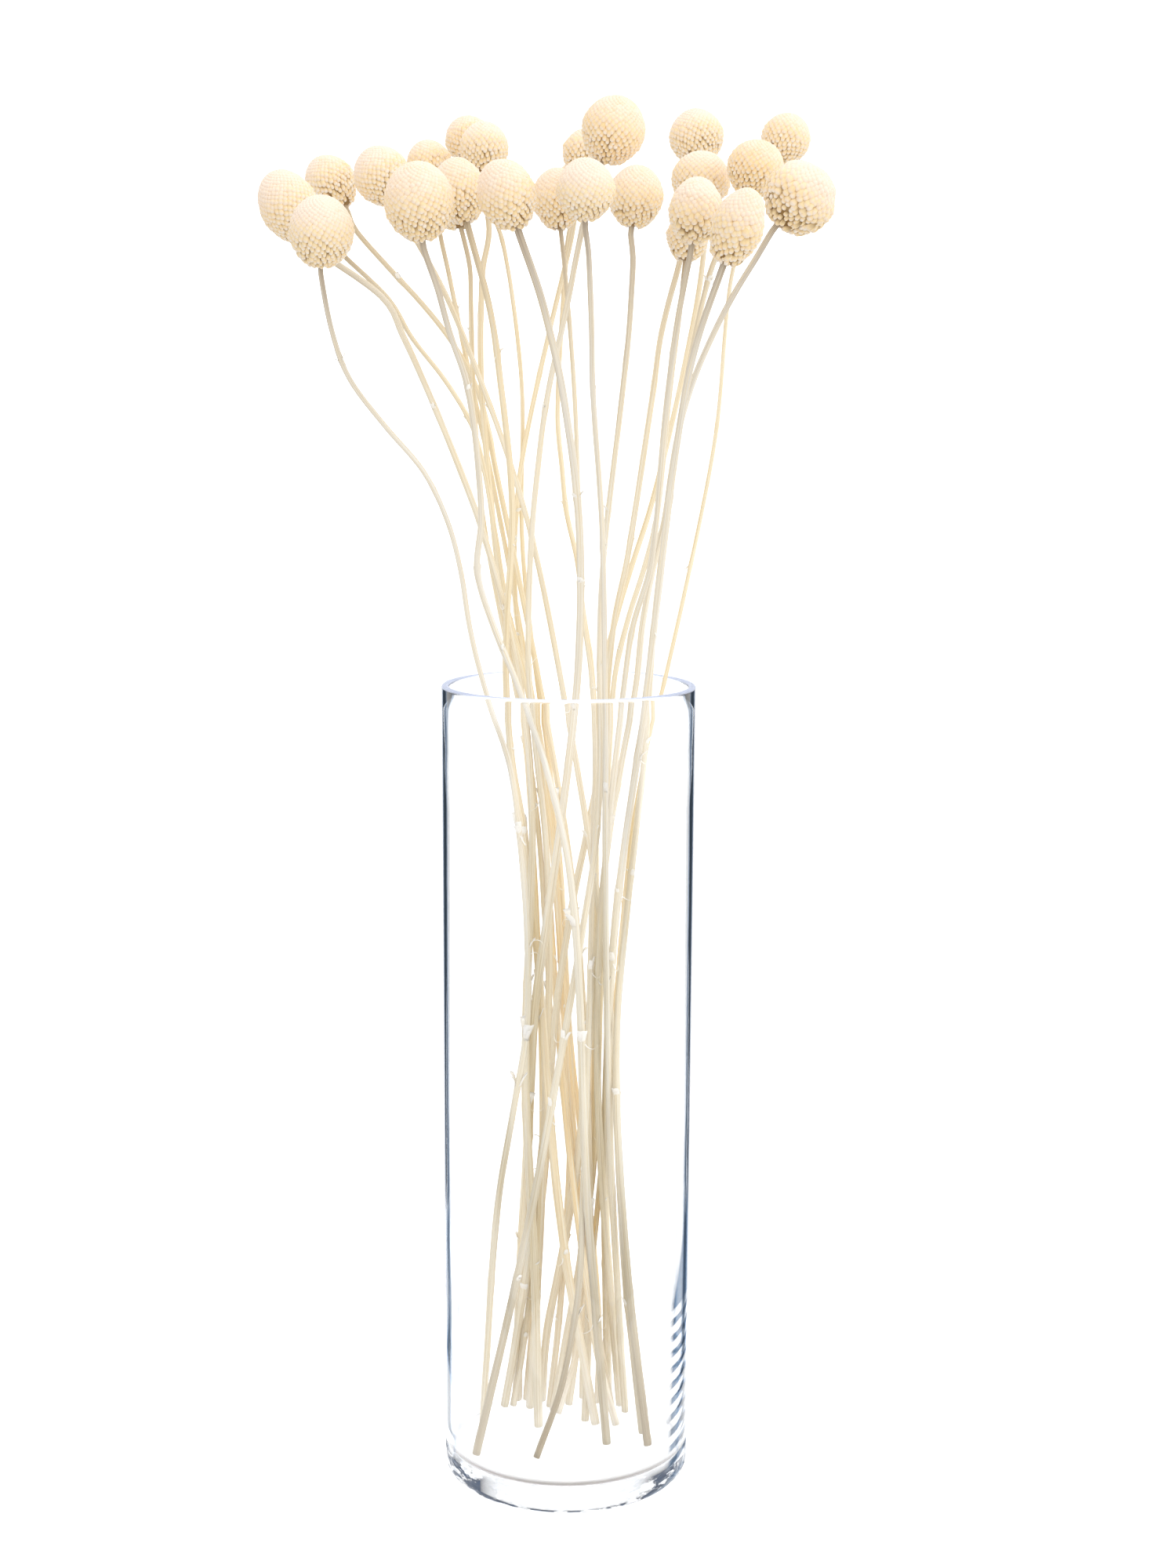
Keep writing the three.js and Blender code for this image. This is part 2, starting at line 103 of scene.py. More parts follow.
class HeadSettings(bpy.types.PropertyGroup):
    """Sizes and colours of the flower heads."""

    top_width: bpy.props.FloatProperty(
        name="Floret width on top", description="Spacing of the florets at the crown",
        default=1.25 * MM, min=0.5 * MM, unit="LENGTH")
    low_width: bpy.props.FloatProperty(
        name="Floret width below", description="Spacing of the florets below the middle",
        default=2.3 * MM, min=0.5 * MM, unit="LENGTH")
    floret_length: bpy.props.FloatProperty(
        name="Floret length", description="Length of a floret from its root to its tip",
        default=5.2 * MM, min=1 * MM, unit="LENGTH")
    core_depth: bpy.props.FloatProperty(
        name="Core depth", description="How far the core lies under the floret tips",
        default=1.5 * MM, min=0.5 * MM, unit="LENGTH")
    droop: bpy.props.FloatProperty(
        name="Droop", description="How far the lower florets bend back towards the stem",
        default=math.radians(64), min=0, max=math.pi / 2, subtype="ANGLE")
    sink: bpy.props.FloatProperty(
        name="Sink", description="How far a floret that lies quite flat is set into the head",
        default=0.75 * MM, min=0, unit="LENGTH")
    looseness: bpy.props.FloatProperty(
        name="Looseness", description="How unevenly the lower florets stand",
        default=0.1, min=0, max=0.5, subtype="FACTOR")
    tip_colour: bpy.props.FloatVectorProperty(
        name="Tip colour", description="Colour of the bleached floret tips",
        default=(0.965, 0.815, 0.68), min=0, max=1, subtype="COLOR")
    # Painted shade between the florets of the crown.
    crown_gap_shade_colour: bpy.props.FloatVectorProperty(
        name="Crease colour on top", description="Colour between the florets of the crown",
        default=(0.98, 0.81, 0.53), min=0, max=1, subtype="COLOR")
    # The flanks' golden colour, reached below the crown: partly their own colour, partly painted
    # shade under the lit crown.
    flank_colour: bpy.props.FloatVectorProperty(
        name="Flank colour", description="Colour of the sides of the lower florets",
        default=(0.94, 0.755, 0.46), min=0, max=1, subtype="COLOR")
    # Painted shade deep between the lower florets.
    low_gap_shade_colour: bpy.props.FloatVectorProperty(
        name="Crease colour below", description="Colour deep between the lower florets",
        default=(0.30, 0.18, 0.065), min=0, max=1, subtype="COLOR")
    golden_colour: bpy.props.FloatVectorProperty(
        name="Golden colour", description="Tint of the heads that kept some yellow",
        default=(1.0, 0.875, 0.65), min=0, max=1, subtype="COLOR")
    # Painted highlight: paler tips on the lower florets round the underside, in mottled patches.
    tip_highlight_colour: bpy.props.FloatVectorProperty(
        name="Pale colour", description="Tint of weathered tips round the underside",
        default=(0.96, 0.92, 0.85), min=0, max=1, subtype="COLOR")


class StemSettings(bpy.types.PropertyGroup):
    """Sizes and colours of the stems."""

    sides: bpy.props.IntProperty(
        name="Sides", description="Corners in each ring of a stem", default=12, min=6, max=32)
    ring_step: bpy.props.FloatProperty(
        name="Ring step", description="Distance between a stem's rings",
        default=4 * MM, min=1 * MM, unit="LENGTH")
    scar_spacing: bpy.props.FloatProperty(
        name="Scar spacing", description="Usual distance between leaf scars",
        default=95 * MM, min=20 * MM, unit="LENGTH")
    flake_length: bpy.props.FloatProperty(
        name="Flake length", description="Length of a torn leaf base",
        default=5 * MM, min=1 * MM, unit="LENGTH")
    # How far down from a head the painted shadow on its neck reaches.
    neck_length: bpy.props.FloatProperty(
        name="Neck length", description="Length of the darker neck under a head",
        default=38 * MM, min=5 * MM, unit="LENGTH")
    straw_colour: bpy.props.FloatVectorProperty(
        name="Straw colour", description="Usual colour of the dry stems",
        default=(0.96, 0.895, 0.745), min=0, max=1, subtype="COLOR")
    warm_colour: bpy.props.FloatVectorProperty(
        name="Warm colour", description="Colour of the warmer streaks",
        default=(0.95, 0.835, 0.605), min=0, max=1, subtype="COLOR")
    golden_colour: bpy.props.FloatVectorProperty(
        name="Golden colour", description="Colour of the stems that kept their yellow",
        default=(0.97, 0.77, 0.42), min=0, max=1, subtype="COLOR")
    grey_colour: bpy.props.FloatVectorProperty(
        name="Grey colour", description="Colour of the stems that bleached grey",
        default=(0.84, 0.81, 0.745), min=0, max=1, subtype="COLOR")
    # Painted shadow that a head casts on its neck.
    neck_shadow_colour: bpy.props.FloatVectorProperty(
        name="Neck colour", description="Colour of the neck under a head",
        default=(0.29, 0.205, 0.125), min=0, max=1, subtype="COLOR")
    flake_colour: bpy.props.FloatVectorProperty(
        name="Flake colour", description="Colour of the papery leaf bases",
        default=(0.97, 0.95, 0.90), min=0, max=1, subtype="COLOR")
    fibre_colour: bpy.props.FloatVectorProperty(
        name="Fibre colour", description="Tint of the darker fibres along a stem",
        default=(0.74, 0.66, 0.52), min=0, max=1, subtype="COLOR")
    front_foot_colour: bpy.props.FloatVectorProperty(
        name="Front foot colour", description="Colour of the feet of the greyer stems",
        default=(0.46, 0.385, 0.275), min=0, max=1, subtype="COLOR")
    # Painted light from the white base below, paling the feet of the warmer stems.
    back_foot_bounce_colour: bpy.props.FloatVectorProperty(
        name="Back foot colour", description="Colour of the feet of the warmer stems",
        default=(0.97, 0.91, 0.79), min=0, max=1, subtype="COLOR")
    dull_colour: bpy.props.FloatVectorProperty(
        name="Dull colour", description="Tint of the stems' less bleached lower parts",
        default=(0.89, 0.88, 0.83), min=0, max=1, subtype="COLOR")


class VaseSettings(bpy.types.PropertyGroup):
    """Sizes and tint of the vase."""

    wall: bpy.props.FloatProperty(
        name="Wall", description="Thickness of the wall at the rim", default=3.5 * MM,
        unit="LENGTH")
    wall_step: bpy.props.FloatProperty(
        name="Wall step", description="Height of each step down the inside of the wall",
        default=9 * MM, min=1 * MM, unit="LENGTH")
    floor: bpy.props.FloatProperty(
        name="Floor", description="Thickness of the floor", default=13 * MM, unit="LENGTH")
    foot_round: bpy.props.FloatProperty(
        name="Foot round", description="Rounding of the outer foot", default=5 * MM, unit="LENGTH")
    inner_round: bpy.props.FloatProperty(
        name="Inner round", description="Rounding of the inner floor", default=3 * MM,
        unit="LENGTH")
    around: bpy.props.IntProperty(
        name="Around", description="Segments round the vase", default=128, min=24, max=256)
    arc_steps: bpy.props.IntProperty(
        name="Arc steps", description="Segments in each rounding", default=8, min=3, max=24)
    waviness: bpy.props.FloatProperty(
        name="Waviness", description="Depth of the slight waves in the wall",
        default=0.07 * MM, min=0, unit="LENGTH")
    cast_relief: bpy.props.FloatProperty(
        name="Cast relief", description="Depth of the unevenness of the base",
        default=1.8 * MM, min=0, unit="LENGTH")
    rim_roughness: bpy.props.FloatProperty(
        name="Rim roughness", description="How rough the ground rim is",
        default=0.6, min=0, max=1, subtype="FACTOR")
    corner_roughness: bpy.props.FloatProperty(
        name="Corner roughness", description="How rough the glass is round the inner floor",
        default=0.5, min=0, max=1, subtype="FACTOR")
    under_roughness: bpy.props.FloatProperty(
        name="Underside roughness", description="How rough the ground underside is",
        default=0.8, min=0, max=1, subtype="FACTOR")
    ripple_relief: bpy.props.FloatProperty(
        name="Ripple relief", description="Depth of the ripples low on one side",
        default=0.03 * MM, min=0, unit="LENGTH")
    ripple_length: bpy.props.FloatProperty(
        name="Ripple length", description="Distance from one ripple to the next",
        default=8 * MM, min=1 * MM, unit="LENGTH")
    ripple_height: bpy.props.FloatProperty(
        name="Ripple height", description="Height at which the ripples die away",
        default=95 * MM, min=0, unit="LENGTH")
    # The dark edge on the rippled side is a painted reflection of dark surroundings.
    wedge_top: bpy.props.FloatProperty(
        name="Wedge top", description="Height at which the dark edge on the rippled side starts",
        default=200 * MM, min=0, unit="LENGTH")
    wedge_share: bpy.props.FloatProperty(
        name="Wedge share", description="How far the dark edge spreads towards the middle",
        default=0.5, min=0, max=1, subtype="FACTOR")
    # Colour of the painted dark reflection on the rippled side.
    painted_wedge_colour: bpy.props.FloatVectorProperty(
        name="Wedge colour", description="Colour of the dark edge on the rippled side",
        default=(0.02, 0.042, 0.085), min=0, max=1, subtype="COLOR")
    # Painted reflection of dark surroundings at the sides of the base.
    painted_edge_shade_colour: bpy.props.FloatVectorProperty(
        name="Edge colour", description="Colour of the blotches and veins at the sides of the base",
        default=(0.0005, 0.003, 0.014), min=0, max=1, subtype="COLOR")
    rim_colour: bpy.props.FloatVectorProperty(
        name="Rim colour", description="Cool tint of the rim",
        default=(0.72, 0.78, 0.95), min=0, max=1, subtype="COLOR")
    rim_light: bpy.props.FloatVectorProperty(
        name="Rim light", description="Light that gathers in the rim",
        default=(0.36, 0.40, 0.52), min=0, max=1, subtype="COLOR")
    base_light: bpy.props.FloatVectorProperty(
        name="Base light", description="Light that gathers in the base",
        default=(0.12, 0.13, 0.15), min=0, max=1, subtype="COLOR")
    # Painted reflection of the stems, darkening the inner floor's corner where it is seen through
    # the wall.
    corner_reflection_colour: bpy.props.FloatVectorProperty(
        name="Corner colour", description="Colour of the inner floor's corner, through the wall",
        default=(0.12, 0.10, 0.09), min=0, max=1, subtype="COLOR")
    tint: bpy.props.FloatVectorProperty(
        name="Tint", description="Colour that thick glass takes",
        default=(0.70, 0.80, 0.92), min=0, max=1, subtype="COLOR")
    tint_density: bpy.props.FloatProperty(
        name="Tint density", description="How fast thick glass takes its tint", default=3.0, min=0)


class StageSettings(bpy.types.PropertyGroup):
    """The floor, the light and the camera."""

    floor_radius: bpy.props.FloatProperty(
        name="Floor radius", description="Radius of the pale floor", default=6.0, unit="LENGTH")
    floor_drop: bpy.props.FloatProperty(
        name="Floor drop", description="Gap between the vase and the floor",
        default=0.2 * MM, unit="LENGTH")
    floor_colour: bpy.props.FloatVectorProperty(
        name="Floor colour", description="Colour of the floor",
        default=(0.93, 0.93, 0.93), min=0, max=1, subtype="COLOR")
    floor_glow: bpy.props.FloatProperty(
        name="Floor glow", description="Light from the lit sweep itself", default=0.3, min=0)
    sky_strength: bpy.props.FloatProperty(
        name="Sky strength", description="Light from all round", default=1.62, min=0)
    right_light: bpy.props.FloatVectorProperty(
        name="Right light", description="Soft light that comes from the right",
        default=(0.96, 0.96, 0.95), min=0, max=1, subtype="COLOR")
    left_light: bpy.props.FloatVectorProperty(
        name="Left light", description="Soft light that comes from the left",
        default=(0.45, 0.45, 0.47), min=0, max=1, subtype="COLOR")
    high_light: bpy.props.FloatVectorProperty(
        name="High light", description="Soft light that comes from overhead",
        default=(0.72, 0.72, 0.72), min=0, max=1, subtype="COLOR")
    low_light: bpy.props.FloatVectorProperty(
        name="Low light", description="Soft light that comes back from below",
        default=(0.56, 0.54, 0.51), min=0, max=1, subtype="COLOR")
    key_power: bpy.props.FloatProperty(
        name="Key power", description="Light from the soft box overhead",
        default=4.0, min=0, unit="POWER")
    dark_colour: bpy.props.FloatVectorProperty(
        name="Dark colour", description="Dark screens that the glass's edges pick up",
        default=(0.08, 0.11, 0.15), min=0, max=1, subtype="COLOR")
    fringe_colour: bpy.props.FloatVectorProperty(
        name="Fringe colour", description="Half shade along the sides of the dark screens",
        default=(0.52, 0.64, 0.84), min=0, max=1, subtype="COLOR")
    screen_start: bpy.props.FloatProperty(
        name="Screen start", description="Where a dark screen starts, to the side of a clear view",
        default=math.radians(19), subtype="ANGLE")
    base_shift: bpy.props.FloatProperty(
        name="Base shift", description="How far to the side the screens' feet stand",
        default=math.radians(22), subtype="ANGLE")
    screen_end: bpy.props.FloatProperty(
        name="Screen end", description="Where a dark screen ends, to the side of a clear view",
        default=math.radians(40), subtype="ANGLE")
    camera_place: bpy.props.FloatVectorProperty(
        name="Camera place", description="Where the camera stands",
        default=(9.3 * MM, -1046.8 * MM, 519.4 * MM), subtype="TRANSLATION", unit="LENGTH")
    camera_pitch: bpy.props.FloatProperty(
        name="Camera pitch", description="How far the camera looks down",
        default=math.radians(9.61), subtype="ANGLE")
    camera_roll: bpy.props.FloatProperty(
        name="Camera roll", description="How far the camera is turned about its view",
        default=math.radians(0.29), subtype="ANGLE")
    lens: bpy.props.FloatProperty(
        name="Lens", description="Focal length in millimetres for a 36 mm frame",
        default=51.37, min=1)


# ---------------------------------------------------------------- reading the frame


def corners_of(node):
    """The different corners of a frame node, which its mesh repeats for every face."""
    digits = 7
    return {tuple(round(c, digits) for c in v.co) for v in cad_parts[node].data.vertices}


def stem_rings(node):
    """The middle and the radius of each ring of corners of a stem, from its foot up."""
    corners = sorted((Vector(corner) for corner in corners_of(node)), key=lambda corner: corner.z)
    rings = [[corners[0]]]
    for corner in corners[1:]:
        if corner.z - rings[-1][-1].z > RING_GAP:
            rings.append([])
        rings[-1].append(corner)
    middles = [sum(ring, Vector()) / len(ring) for ring in rings]
    radii = [max((c - middle).length for c in ring) for middle, ring in zip(middles, rings)]
    return middles, radii


class HeadShape:
    """A head's centre, axis, half length and girth, from its node and its stem's end."""

    underside_pinch = 0.1

    def __init__(self, number):
        middles, radii = stem_rings("stem_" + number)
        self.axis = (middles[-1] - middles[-2]).normalized()
        self.stem_radius = radii[-1]
        corners = [Vector(corner) - middles[-1] for corner in corners_of("head_" + number)]
        heights = [corner.dot(self.axis) for corner in corners]
        self.centre = middles[-1] + self.axis * (max(heights) + min(heights)) / 2
        self.half_length = (max(heights) - min(heights)) / 2
        self.girth = max((c - self.axis * h).length for c, h in zip(corners, heights))
        self.turned = self.axis.to_track_quat("Z", "Y").to_matrix()

    def ring(self, polar):
        """Height along the axis and radius round it, at an angle from the crown."""
        up = math.cos(polar)
        pinch = 1 - self.underside_pinch * max(0, -up) ** 2
        return self.half_length * up, self.girth * math.sin(polar) * pinch

    def place(self, polar, angle):
        """The point and the outward direction at an angle from the crown and one round the axis."""
        height, radius = self.ring(polar)
        out = Vector((math.cos(angle), math.sin(angle), 0))
        flat = out * math.sin(polar) / self.girth
        normal = (flat + Vector((0, 0, math.cos(polar) / self.half_length))).normalized()
        point = out * radius + Vector((0, 0, height))
        return self.centre + self.turned @ point, self.turned @ normal


# ---------------------------------------------------------------- materials


def new_material(name):
    """A material, its node tree and the shader in it."""
    material = bpy.data.materials.new(name)
    material.use_nodes = True
    return material, material.node_tree, material.node_tree.nodes["Principled BSDF"]


def set_inputs(node, **inputs):
    """Sets some of a node's inputs, by their names with _ for spaces."""
    for name, value in inputs.items():
        node.inputs[name.replace("_", " ")].default_value = value


def new_node(tree, kind, **inputs):
    """A node with some of its inputs set."""
    made = tree.nodes.new(kind)
    set_inputs(made, **inputs)
    return made


def object_place(tree):
    return tree.nodes.new("ShaderNodeTexCoord").outputs["Object"]


def separated(tree, vector):
    """The three parts of a vector."""
    made = tree.nodes.new("ShaderNodeSeparateXYZ")
    tree.links.new(vector, made.inputs[0])
    return made.outputs


def stretched(tree, vector, scale):
    """A vector scaled along each axis, which draws a pattern out or flattens it."""
    made = new_node(tree, "ShaderNodeMapping", Scale=scale)
    tree.links.new(vector, made.inputs["Vector"])
    return made.outputs[0]


def grained(tree, vector, scale, detail, roughness=0.5):
    """A noise pattern laid out by a vector."""
    made = new_node(tree, "ShaderNodeTexNoise", Scale=scale, Detail=detail, Roughness=roughness)
    tree.links.new(vector, made.inputs["Vector"])
    return made.outputs[0]


def attribute(tree, name):
    made = tree.nodes.new("ShaderNodeAttribute")
    made.attribute_name = name
    return made


def blend_colours(tree, share, first, second, how="MIX"):
    """A colour mix whose share and colours are sockets or plain values."""
    made = tree.nodes.new("ShaderNodeMix")
    made.data_type = "RGBA"
    made.blend_type = how
    for place, value in ((0, share), (6, first), (7, second)):
        socket = made.inputs[place]
        if isinstance(value, bpy.types.NodeSocket):
            tree.links.new(value, socket)
        elif isinstance(value, (int, float)):
            socket.default_value = value
        else:
            socket.default_value = (*value, 1)
    return made.outputs[2]


def arithmetic(tree, how, *values):
    """The result of one operation on sockets or plain values."""
    made = tree.nodes.new("ShaderNodeMath")
    made.operation = how
    for socket, value in zip(made.inputs, values):
        if isinstance(value, bpy.types.NodeSocket):
            tree.links.new(value, socket)
        else:
            socket.default_value = value
    return made.outputs[0]


def product(tree, result, *others):
    """The values multiplied together."""
    for value in others:
        result = arithmetic(tree, "MULTIPLY", result, value)
    return result


def total(tree, result, *others):
    """The values added together."""
    for value in others:
        result = arithmetic(tree, "ADD", result, value)
    return result


def mottle_group():
    """Uneven drying: broad patches and fine specks, shared by the florets and the stems."""
    group = bpy.data.node_groups.get("dry_mottle")
    if group:
        return group
    group = bpy.data.node_groups.new("dry_mottle", "ShaderNodeTree")
    for name, kind in (("Vector", "NodeSocketVector"), ("Patch Scale", "NodeSocketFloat"),
                       ("Speck Scale", "NodeSocketFloat"), ("Speck Share", "NodeSocketFloat")):
        group.interface.new_socket(name, in_out="INPUT", socket_type=kind)
    group.interface.new_socket("Mottle", in_out="OUTPUT", socket_type="NodeSocketFloat")
    given = group.nodes.new("NodeGroupInput")
    result = group.nodes.new("NodeGroupOutput")
    patches = new_node(group, "ShaderNodeTexNoise", Detail=3, Roughness=0.6)
    specks = new_node(group, "ShaderNodeTexNoise", Detail=2, Roughness=0.7)
    for texture, scale in ((patches, "Patch Scale"), (specks, "Speck Scale")):
        group.links.new(given.outputs["Vector"], texture.inputs["Vector"])
        group.links.new(given.outputs[scale], texture.inputs["Scale"])
    mixed = group.nodes.new("ShaderNodeMix")
    group.links.new(given.outputs["Speck Share"], mixed.inputs[0])
    group.links.new(patches.outputs[0], mixed.inputs[2])
    group.links.new(specks.outputs[0], mixed.inputs[3])
    group.links.new(mixed.outputs[0], result.inputs["Mottle"])
    return group


def mottled(tree, vector, patch_scale, speck_scale, speck_share):
    """The shared mottle, laid out by a vector."""
    made = tree.nodes.new("ShaderNodeGroup")
    made.node_tree = mottle_group()
    tree.links.new(vector, made.inputs["Vector"])
    set_inputs(made, Patch_Scale=patch_scale, Speck_Scale=speck_scale, Speck_Share=speck_share)
    return made.outputs["Mottle"]


def ramp(tree, value, low, high):
    """The value stretched so that low becomes 0 and high becomes 1."""
    made = new_node(tree, "ShaderNodeMapRange", From_Min=low, From_Max=high)
    tree.links.new(value, made.inputs["Value"])
    return made.outputs[0]


def new_bump(tree, height, strength, distance):
    made = new_node(tree, "ShaderNodeBump", Strength=strength, Distance=distance)
    tree.links.new(height, made.inputs["Height"])
    return made.outputs["Normal"]


# Where the florets' colours change. By height on a floret, from its root at 0 to its tip at 1:
# the painted shade in the gaps at a floret's root gives way to its flank:
GAP_SHADE_TO_FLANK = (0.0, 0.55)
FLANK_TO_TIP = (0.55, 0.97)
# painted highlights sit on this part of a floret's tip:
HIGHLIGHTED_TIP = (0.7, 0.97)
# by a floret's place on its head, from the crown at 0 to the underside at 1:
# flanks turn from the tip colour to golden, partly their own colour and partly painted shade below
# the crown:
FLANKS_DEEPEN_AND_SHADE = (0.1, 0.5)
# the painted shade in the gaps grows darker towards the underside:
GAP_SHADE_DEEPENS = (0.38, 0.8)
# painted highlights on the tips grow towards the underside:
TIP_HIGHLIGHTS_BELOW = (0.38, 0.72)
# by warmth, and by mottle:
HEADS_TURN_GOLDEN = (-0.1, 1.5)
GOLDEN_PATCHES = (0.25, 0.7)
# painted tip highlights come in mottled patches:
TIP_HIGHLIGHT_PATCHES = (0.32, 0.52)


def floret_material(settings):
    """Bleached florets: cream tips, golden flanks, painted shade in the gaps between them that
    darkens towards the underside, painted highlights on the tips round the underside, and a soft
    sheen for their fuzz."""
    material, tree, shader = new_material("bleached_florets")
    tip, tone, low = [attribute(tree, name).outputs["Fac"] for name in FLORET_LAYERS]
    mottle = mottled(tree, object_place(tree), patch_scale=140, speck_scale=1500, speck_share=0.35)
    # Painted shade in the gaps between florets, darker towards the underside.
    gap_shade = blend_colours(tree, ramp(tree, low, *GAP_SHADE_DEEPENS), settings.crown_gap_shade_colour,
                           settings.low_gap_shade_colour)
    # Flanks deepen below the crown: partly their own golden colour, partly painted shade.
    flank = blend_colours(tree, ramp(tree, low, *FLANKS_DEEPEN_AND_SHADE), settings.tip_colour,
                          settings.flank_colour)
    colour = blend_colours(tree, ramp(tree, tip, *GAP_SHADE_TO_FLANK), gap_shade, flank)
    colour = blend_colours(tree, ramp(tree, tip, *FLANK_TO_TIP), colour, settings.tip_colour)
    golden = product(tree, ramp(tree, tone, *HEADS_TURN_GOLDEN),
                     ramp(tree, mottle, *GOLDEN_PATCHES))
    colour = blend_colours(tree, golden, colour, settings.golden_colour, "MULTIPLY")
    # Painted highlights on the tips of the lower florets, in mottled patches.
    tip_highlight = product(tree, ramp(tree, low, *TIP_HIGHLIGHTS_BELOW),
                        ramp(tree, mottle, *TIP_HIGHLIGHT_PATCHES), ramp(tree, tip, *HIGHLIGHTED_TIP))
    colour = blend_colours(tree, tip_highlight, colour, settings.tip_highlight_colour)
    tree.links.new(colour, shader.inputs["Base Color"])
    relief = new_bump(tree, mottle, strength=0.2, distance=0.15 * MM)
    tree.links.new(relief, shader.inputs["Normal"])
    set_inputs(shader, Roughness=0.8, Specular_IOR_Level=0.25, Sheen_Weight=0.4,
               Sheen_Roughness=0.35)
    return material


# Where the stems' colours change. By tone, from -1 for golden to 1 for bleached grey:
WARM_TONES = (0.4, 0.0)
GOLDEN_TONES = (-0.1, -0.7)
DULL_TONES = (-0.7, 0.1)
FRONT_FOOT_TONES = (0.45, 0.75)
# the warmer back stems take painted light from below at their feet:
BACK_FOOT_BOUNCE_TONES = (0.45, 0.2)
# by height:
GOLDEN_LEVELS = (1.02 * RIM_LEVEL, 0.75 * RIM_LEVEL)
DULL_LEVELS = (0.88 * RIM_LEVEL, 0.66 * RIM_LEVEL)
FRONT_FOOT_LEVELS = (0.5 * RIM_LEVEL, 0.06 * RIM_LEVEL)
# painted light from below on the back stems' feet, by height:
BACK_FOOT_BOUNCE_LEVELS = (0.28 * RIM_LEVEL, 0.06 * RIM_LEVEL)
# by mottle, and by the pattern of the fibres:
WARM_STREAKS = (0.42, 0.66)
WARM_MOTTLE = (0.35, 0.55)
GOLDEN_MOTTLE = (0.4, 0.55)
GREY_MOTTLE = (0.75, 0.35)
# painted shadow on the neck, broken up by mottle:
NECK_SHADOW_MOTTLE = (0.85, 0.35)
DARK_FIBRES = (0.45, 0.7)
FIBRE_STRETCH = (5, 5, 1)


def stem_material(settings):
    """Dry straw: long fine fibres, warm and grey streaks, painted shadow on the necks under the
    heads, feet that darken on the greyer front stems and take painted light from below on the
    warmer back ones, and papery flakes.
    """
    material, tree, shader = new_material("dry_straw")
    around = attribute(tree, "fibre").outputs["Vector"]
    flake, tone, neck = [attribute(tree, name).outputs["Fac"] for name in STEM_LAYERS]
    level = separated(tree, object_place(tree))[2]
    mottle = mottled(tree, around, patch_scale=1.5, speck_scale=5, speck_share=0.35)
    fibres = grained(tree, stretched(tree, around, FIBRE_STRETCH), scale=1, detail=3,
                     roughness=0.65)
    colour = blend_colours(tree, ramp(tree, mottle, *WARM_STREAKS), settings.straw_colour,
                           settings.warm_colour)
    warm = product(tree, ramp(tree, tone, *WARM_TONES), ramp(tree, mottle, *WARM_MOTTLE))
    colour = blend_colours(tree, warm, colour, settings.warm_colour)
    golden = product(tree, ramp(tree, tone, *GOLDEN_TONES), ramp(tree, mottle, *GOLDEN_MOTTLE),
                     ramp(tree, level, *GOLDEN_LEVELS))
    colour = blend_colours(tree, golden, colour, settings.golden_colour)
    grey = product(tree, tone, ramp(tree, mottle, *GREY_MOTTLE))
    colour = blend_colours(tree, grey, colour, settings.grey_colour)
    # The greyer front stems darken towards their feet; the warmer back stems take painted light
    # from below at theirs.
    for levels, tones, foot_colour in (
            (FRONT_FOOT_LEVELS, FRONT_FOOT_TONES, settings.front_foot_colour),
            (BACK_FOOT_BOUNCE_LEVELS, BACK_FOOT_BOUNCE_TONES, settings.back_foot_bounce_colour)):
        foot = product(tree, ramp(tree, level, *levels), ramp(tree, tone, *tones))
        colour = blend_colours(tree, foot, colour, foot_colour)
    colour = blend_colours(tree, ramp(tree, fibres, *DARK_FIBRES), colour,
                           settings.fibre_colour, "MULTIPLY")
    dull = product(tree, ramp(tree, level, *DULL_LEVELS), ramp(tree, tone, *DULL_TONES))
    colour = blend_colours(tree, dull, colour, settings.dull_colour, "MULTIPLY")
    # Painted shadow under each head, darkening its neck.
    neck_shadow = product(tree, neck, ramp(tree, mottle, *NECK_SHADOW_MOTTLE))
    colour = blend_colours(tree, neck_shadow, colour, settings.neck_shadow_colour)
    colour = blend_colours(tree, flake, colour, settings.flake_colour)
    tree.links.new(colour, shader.inputs["Base Color"])
    relief = new_bump(tree, total(tree, mottle, fibres), strength=0.2, distance=0.15 * MM)
    tree.links.new(relief, shader.inputs["Normal"])
    set_inputs(shader, Roughness=0.62, Specular_IOR_Level=0.35)
    return material


# What tells the parts of the glass from one another: distances from the vase's middle,
OUTER_FACE = (VASE_RADIUS - 3 * MM, VASE_RADIUS - 1 * MM)
INNER_CORNER = (VASE_RADIUS - 9 * MM, VASE_RADIUS - 6 * MM)
# heights,
GROUND_RIM = (RIM_LEVEL - 1.5 * MM, RIM_LEVEL - 0.8 * MM)
GROUND_UNDERSIDE = (0.6 * MM, 0.3 * MM)
# and distances to the right, where the ripples are and the painted dark edge above them.
RIPPLED_SIDE = (38 * MM, 52 * MM)
DARK_SIDE = (36 * MM, 44 * MM)
RIPPLE_SLANT = 0.15
RIPPLE_FADE = 40 * MM
CAST_STRETCH = (1, 1, 3)
SMEARS = (0.45, 0.75)
SMEAR_ROUGHNESS = 0.012
# How far the glass turns from the eye before its painted dark reflections show, as marks in the
# base and as the dark edge, and which of the streaks in it are blotches and which are veins.
BLOTCHES_SHOW = (0.27, 0.4)
VEINS_SHOW = (0.18, 0.4)
BLOTCHES = (0.44, 0.49)
VEIN_MIDDLE = 0.5
VEIN_EDGES = (0.02, 0.008)
EDGE_BLUR = (0.0, 0.08)
EDGE_BREAKS_UP = 8 * MM
RIPPLE_BANDS = (-0.3, 0.4)


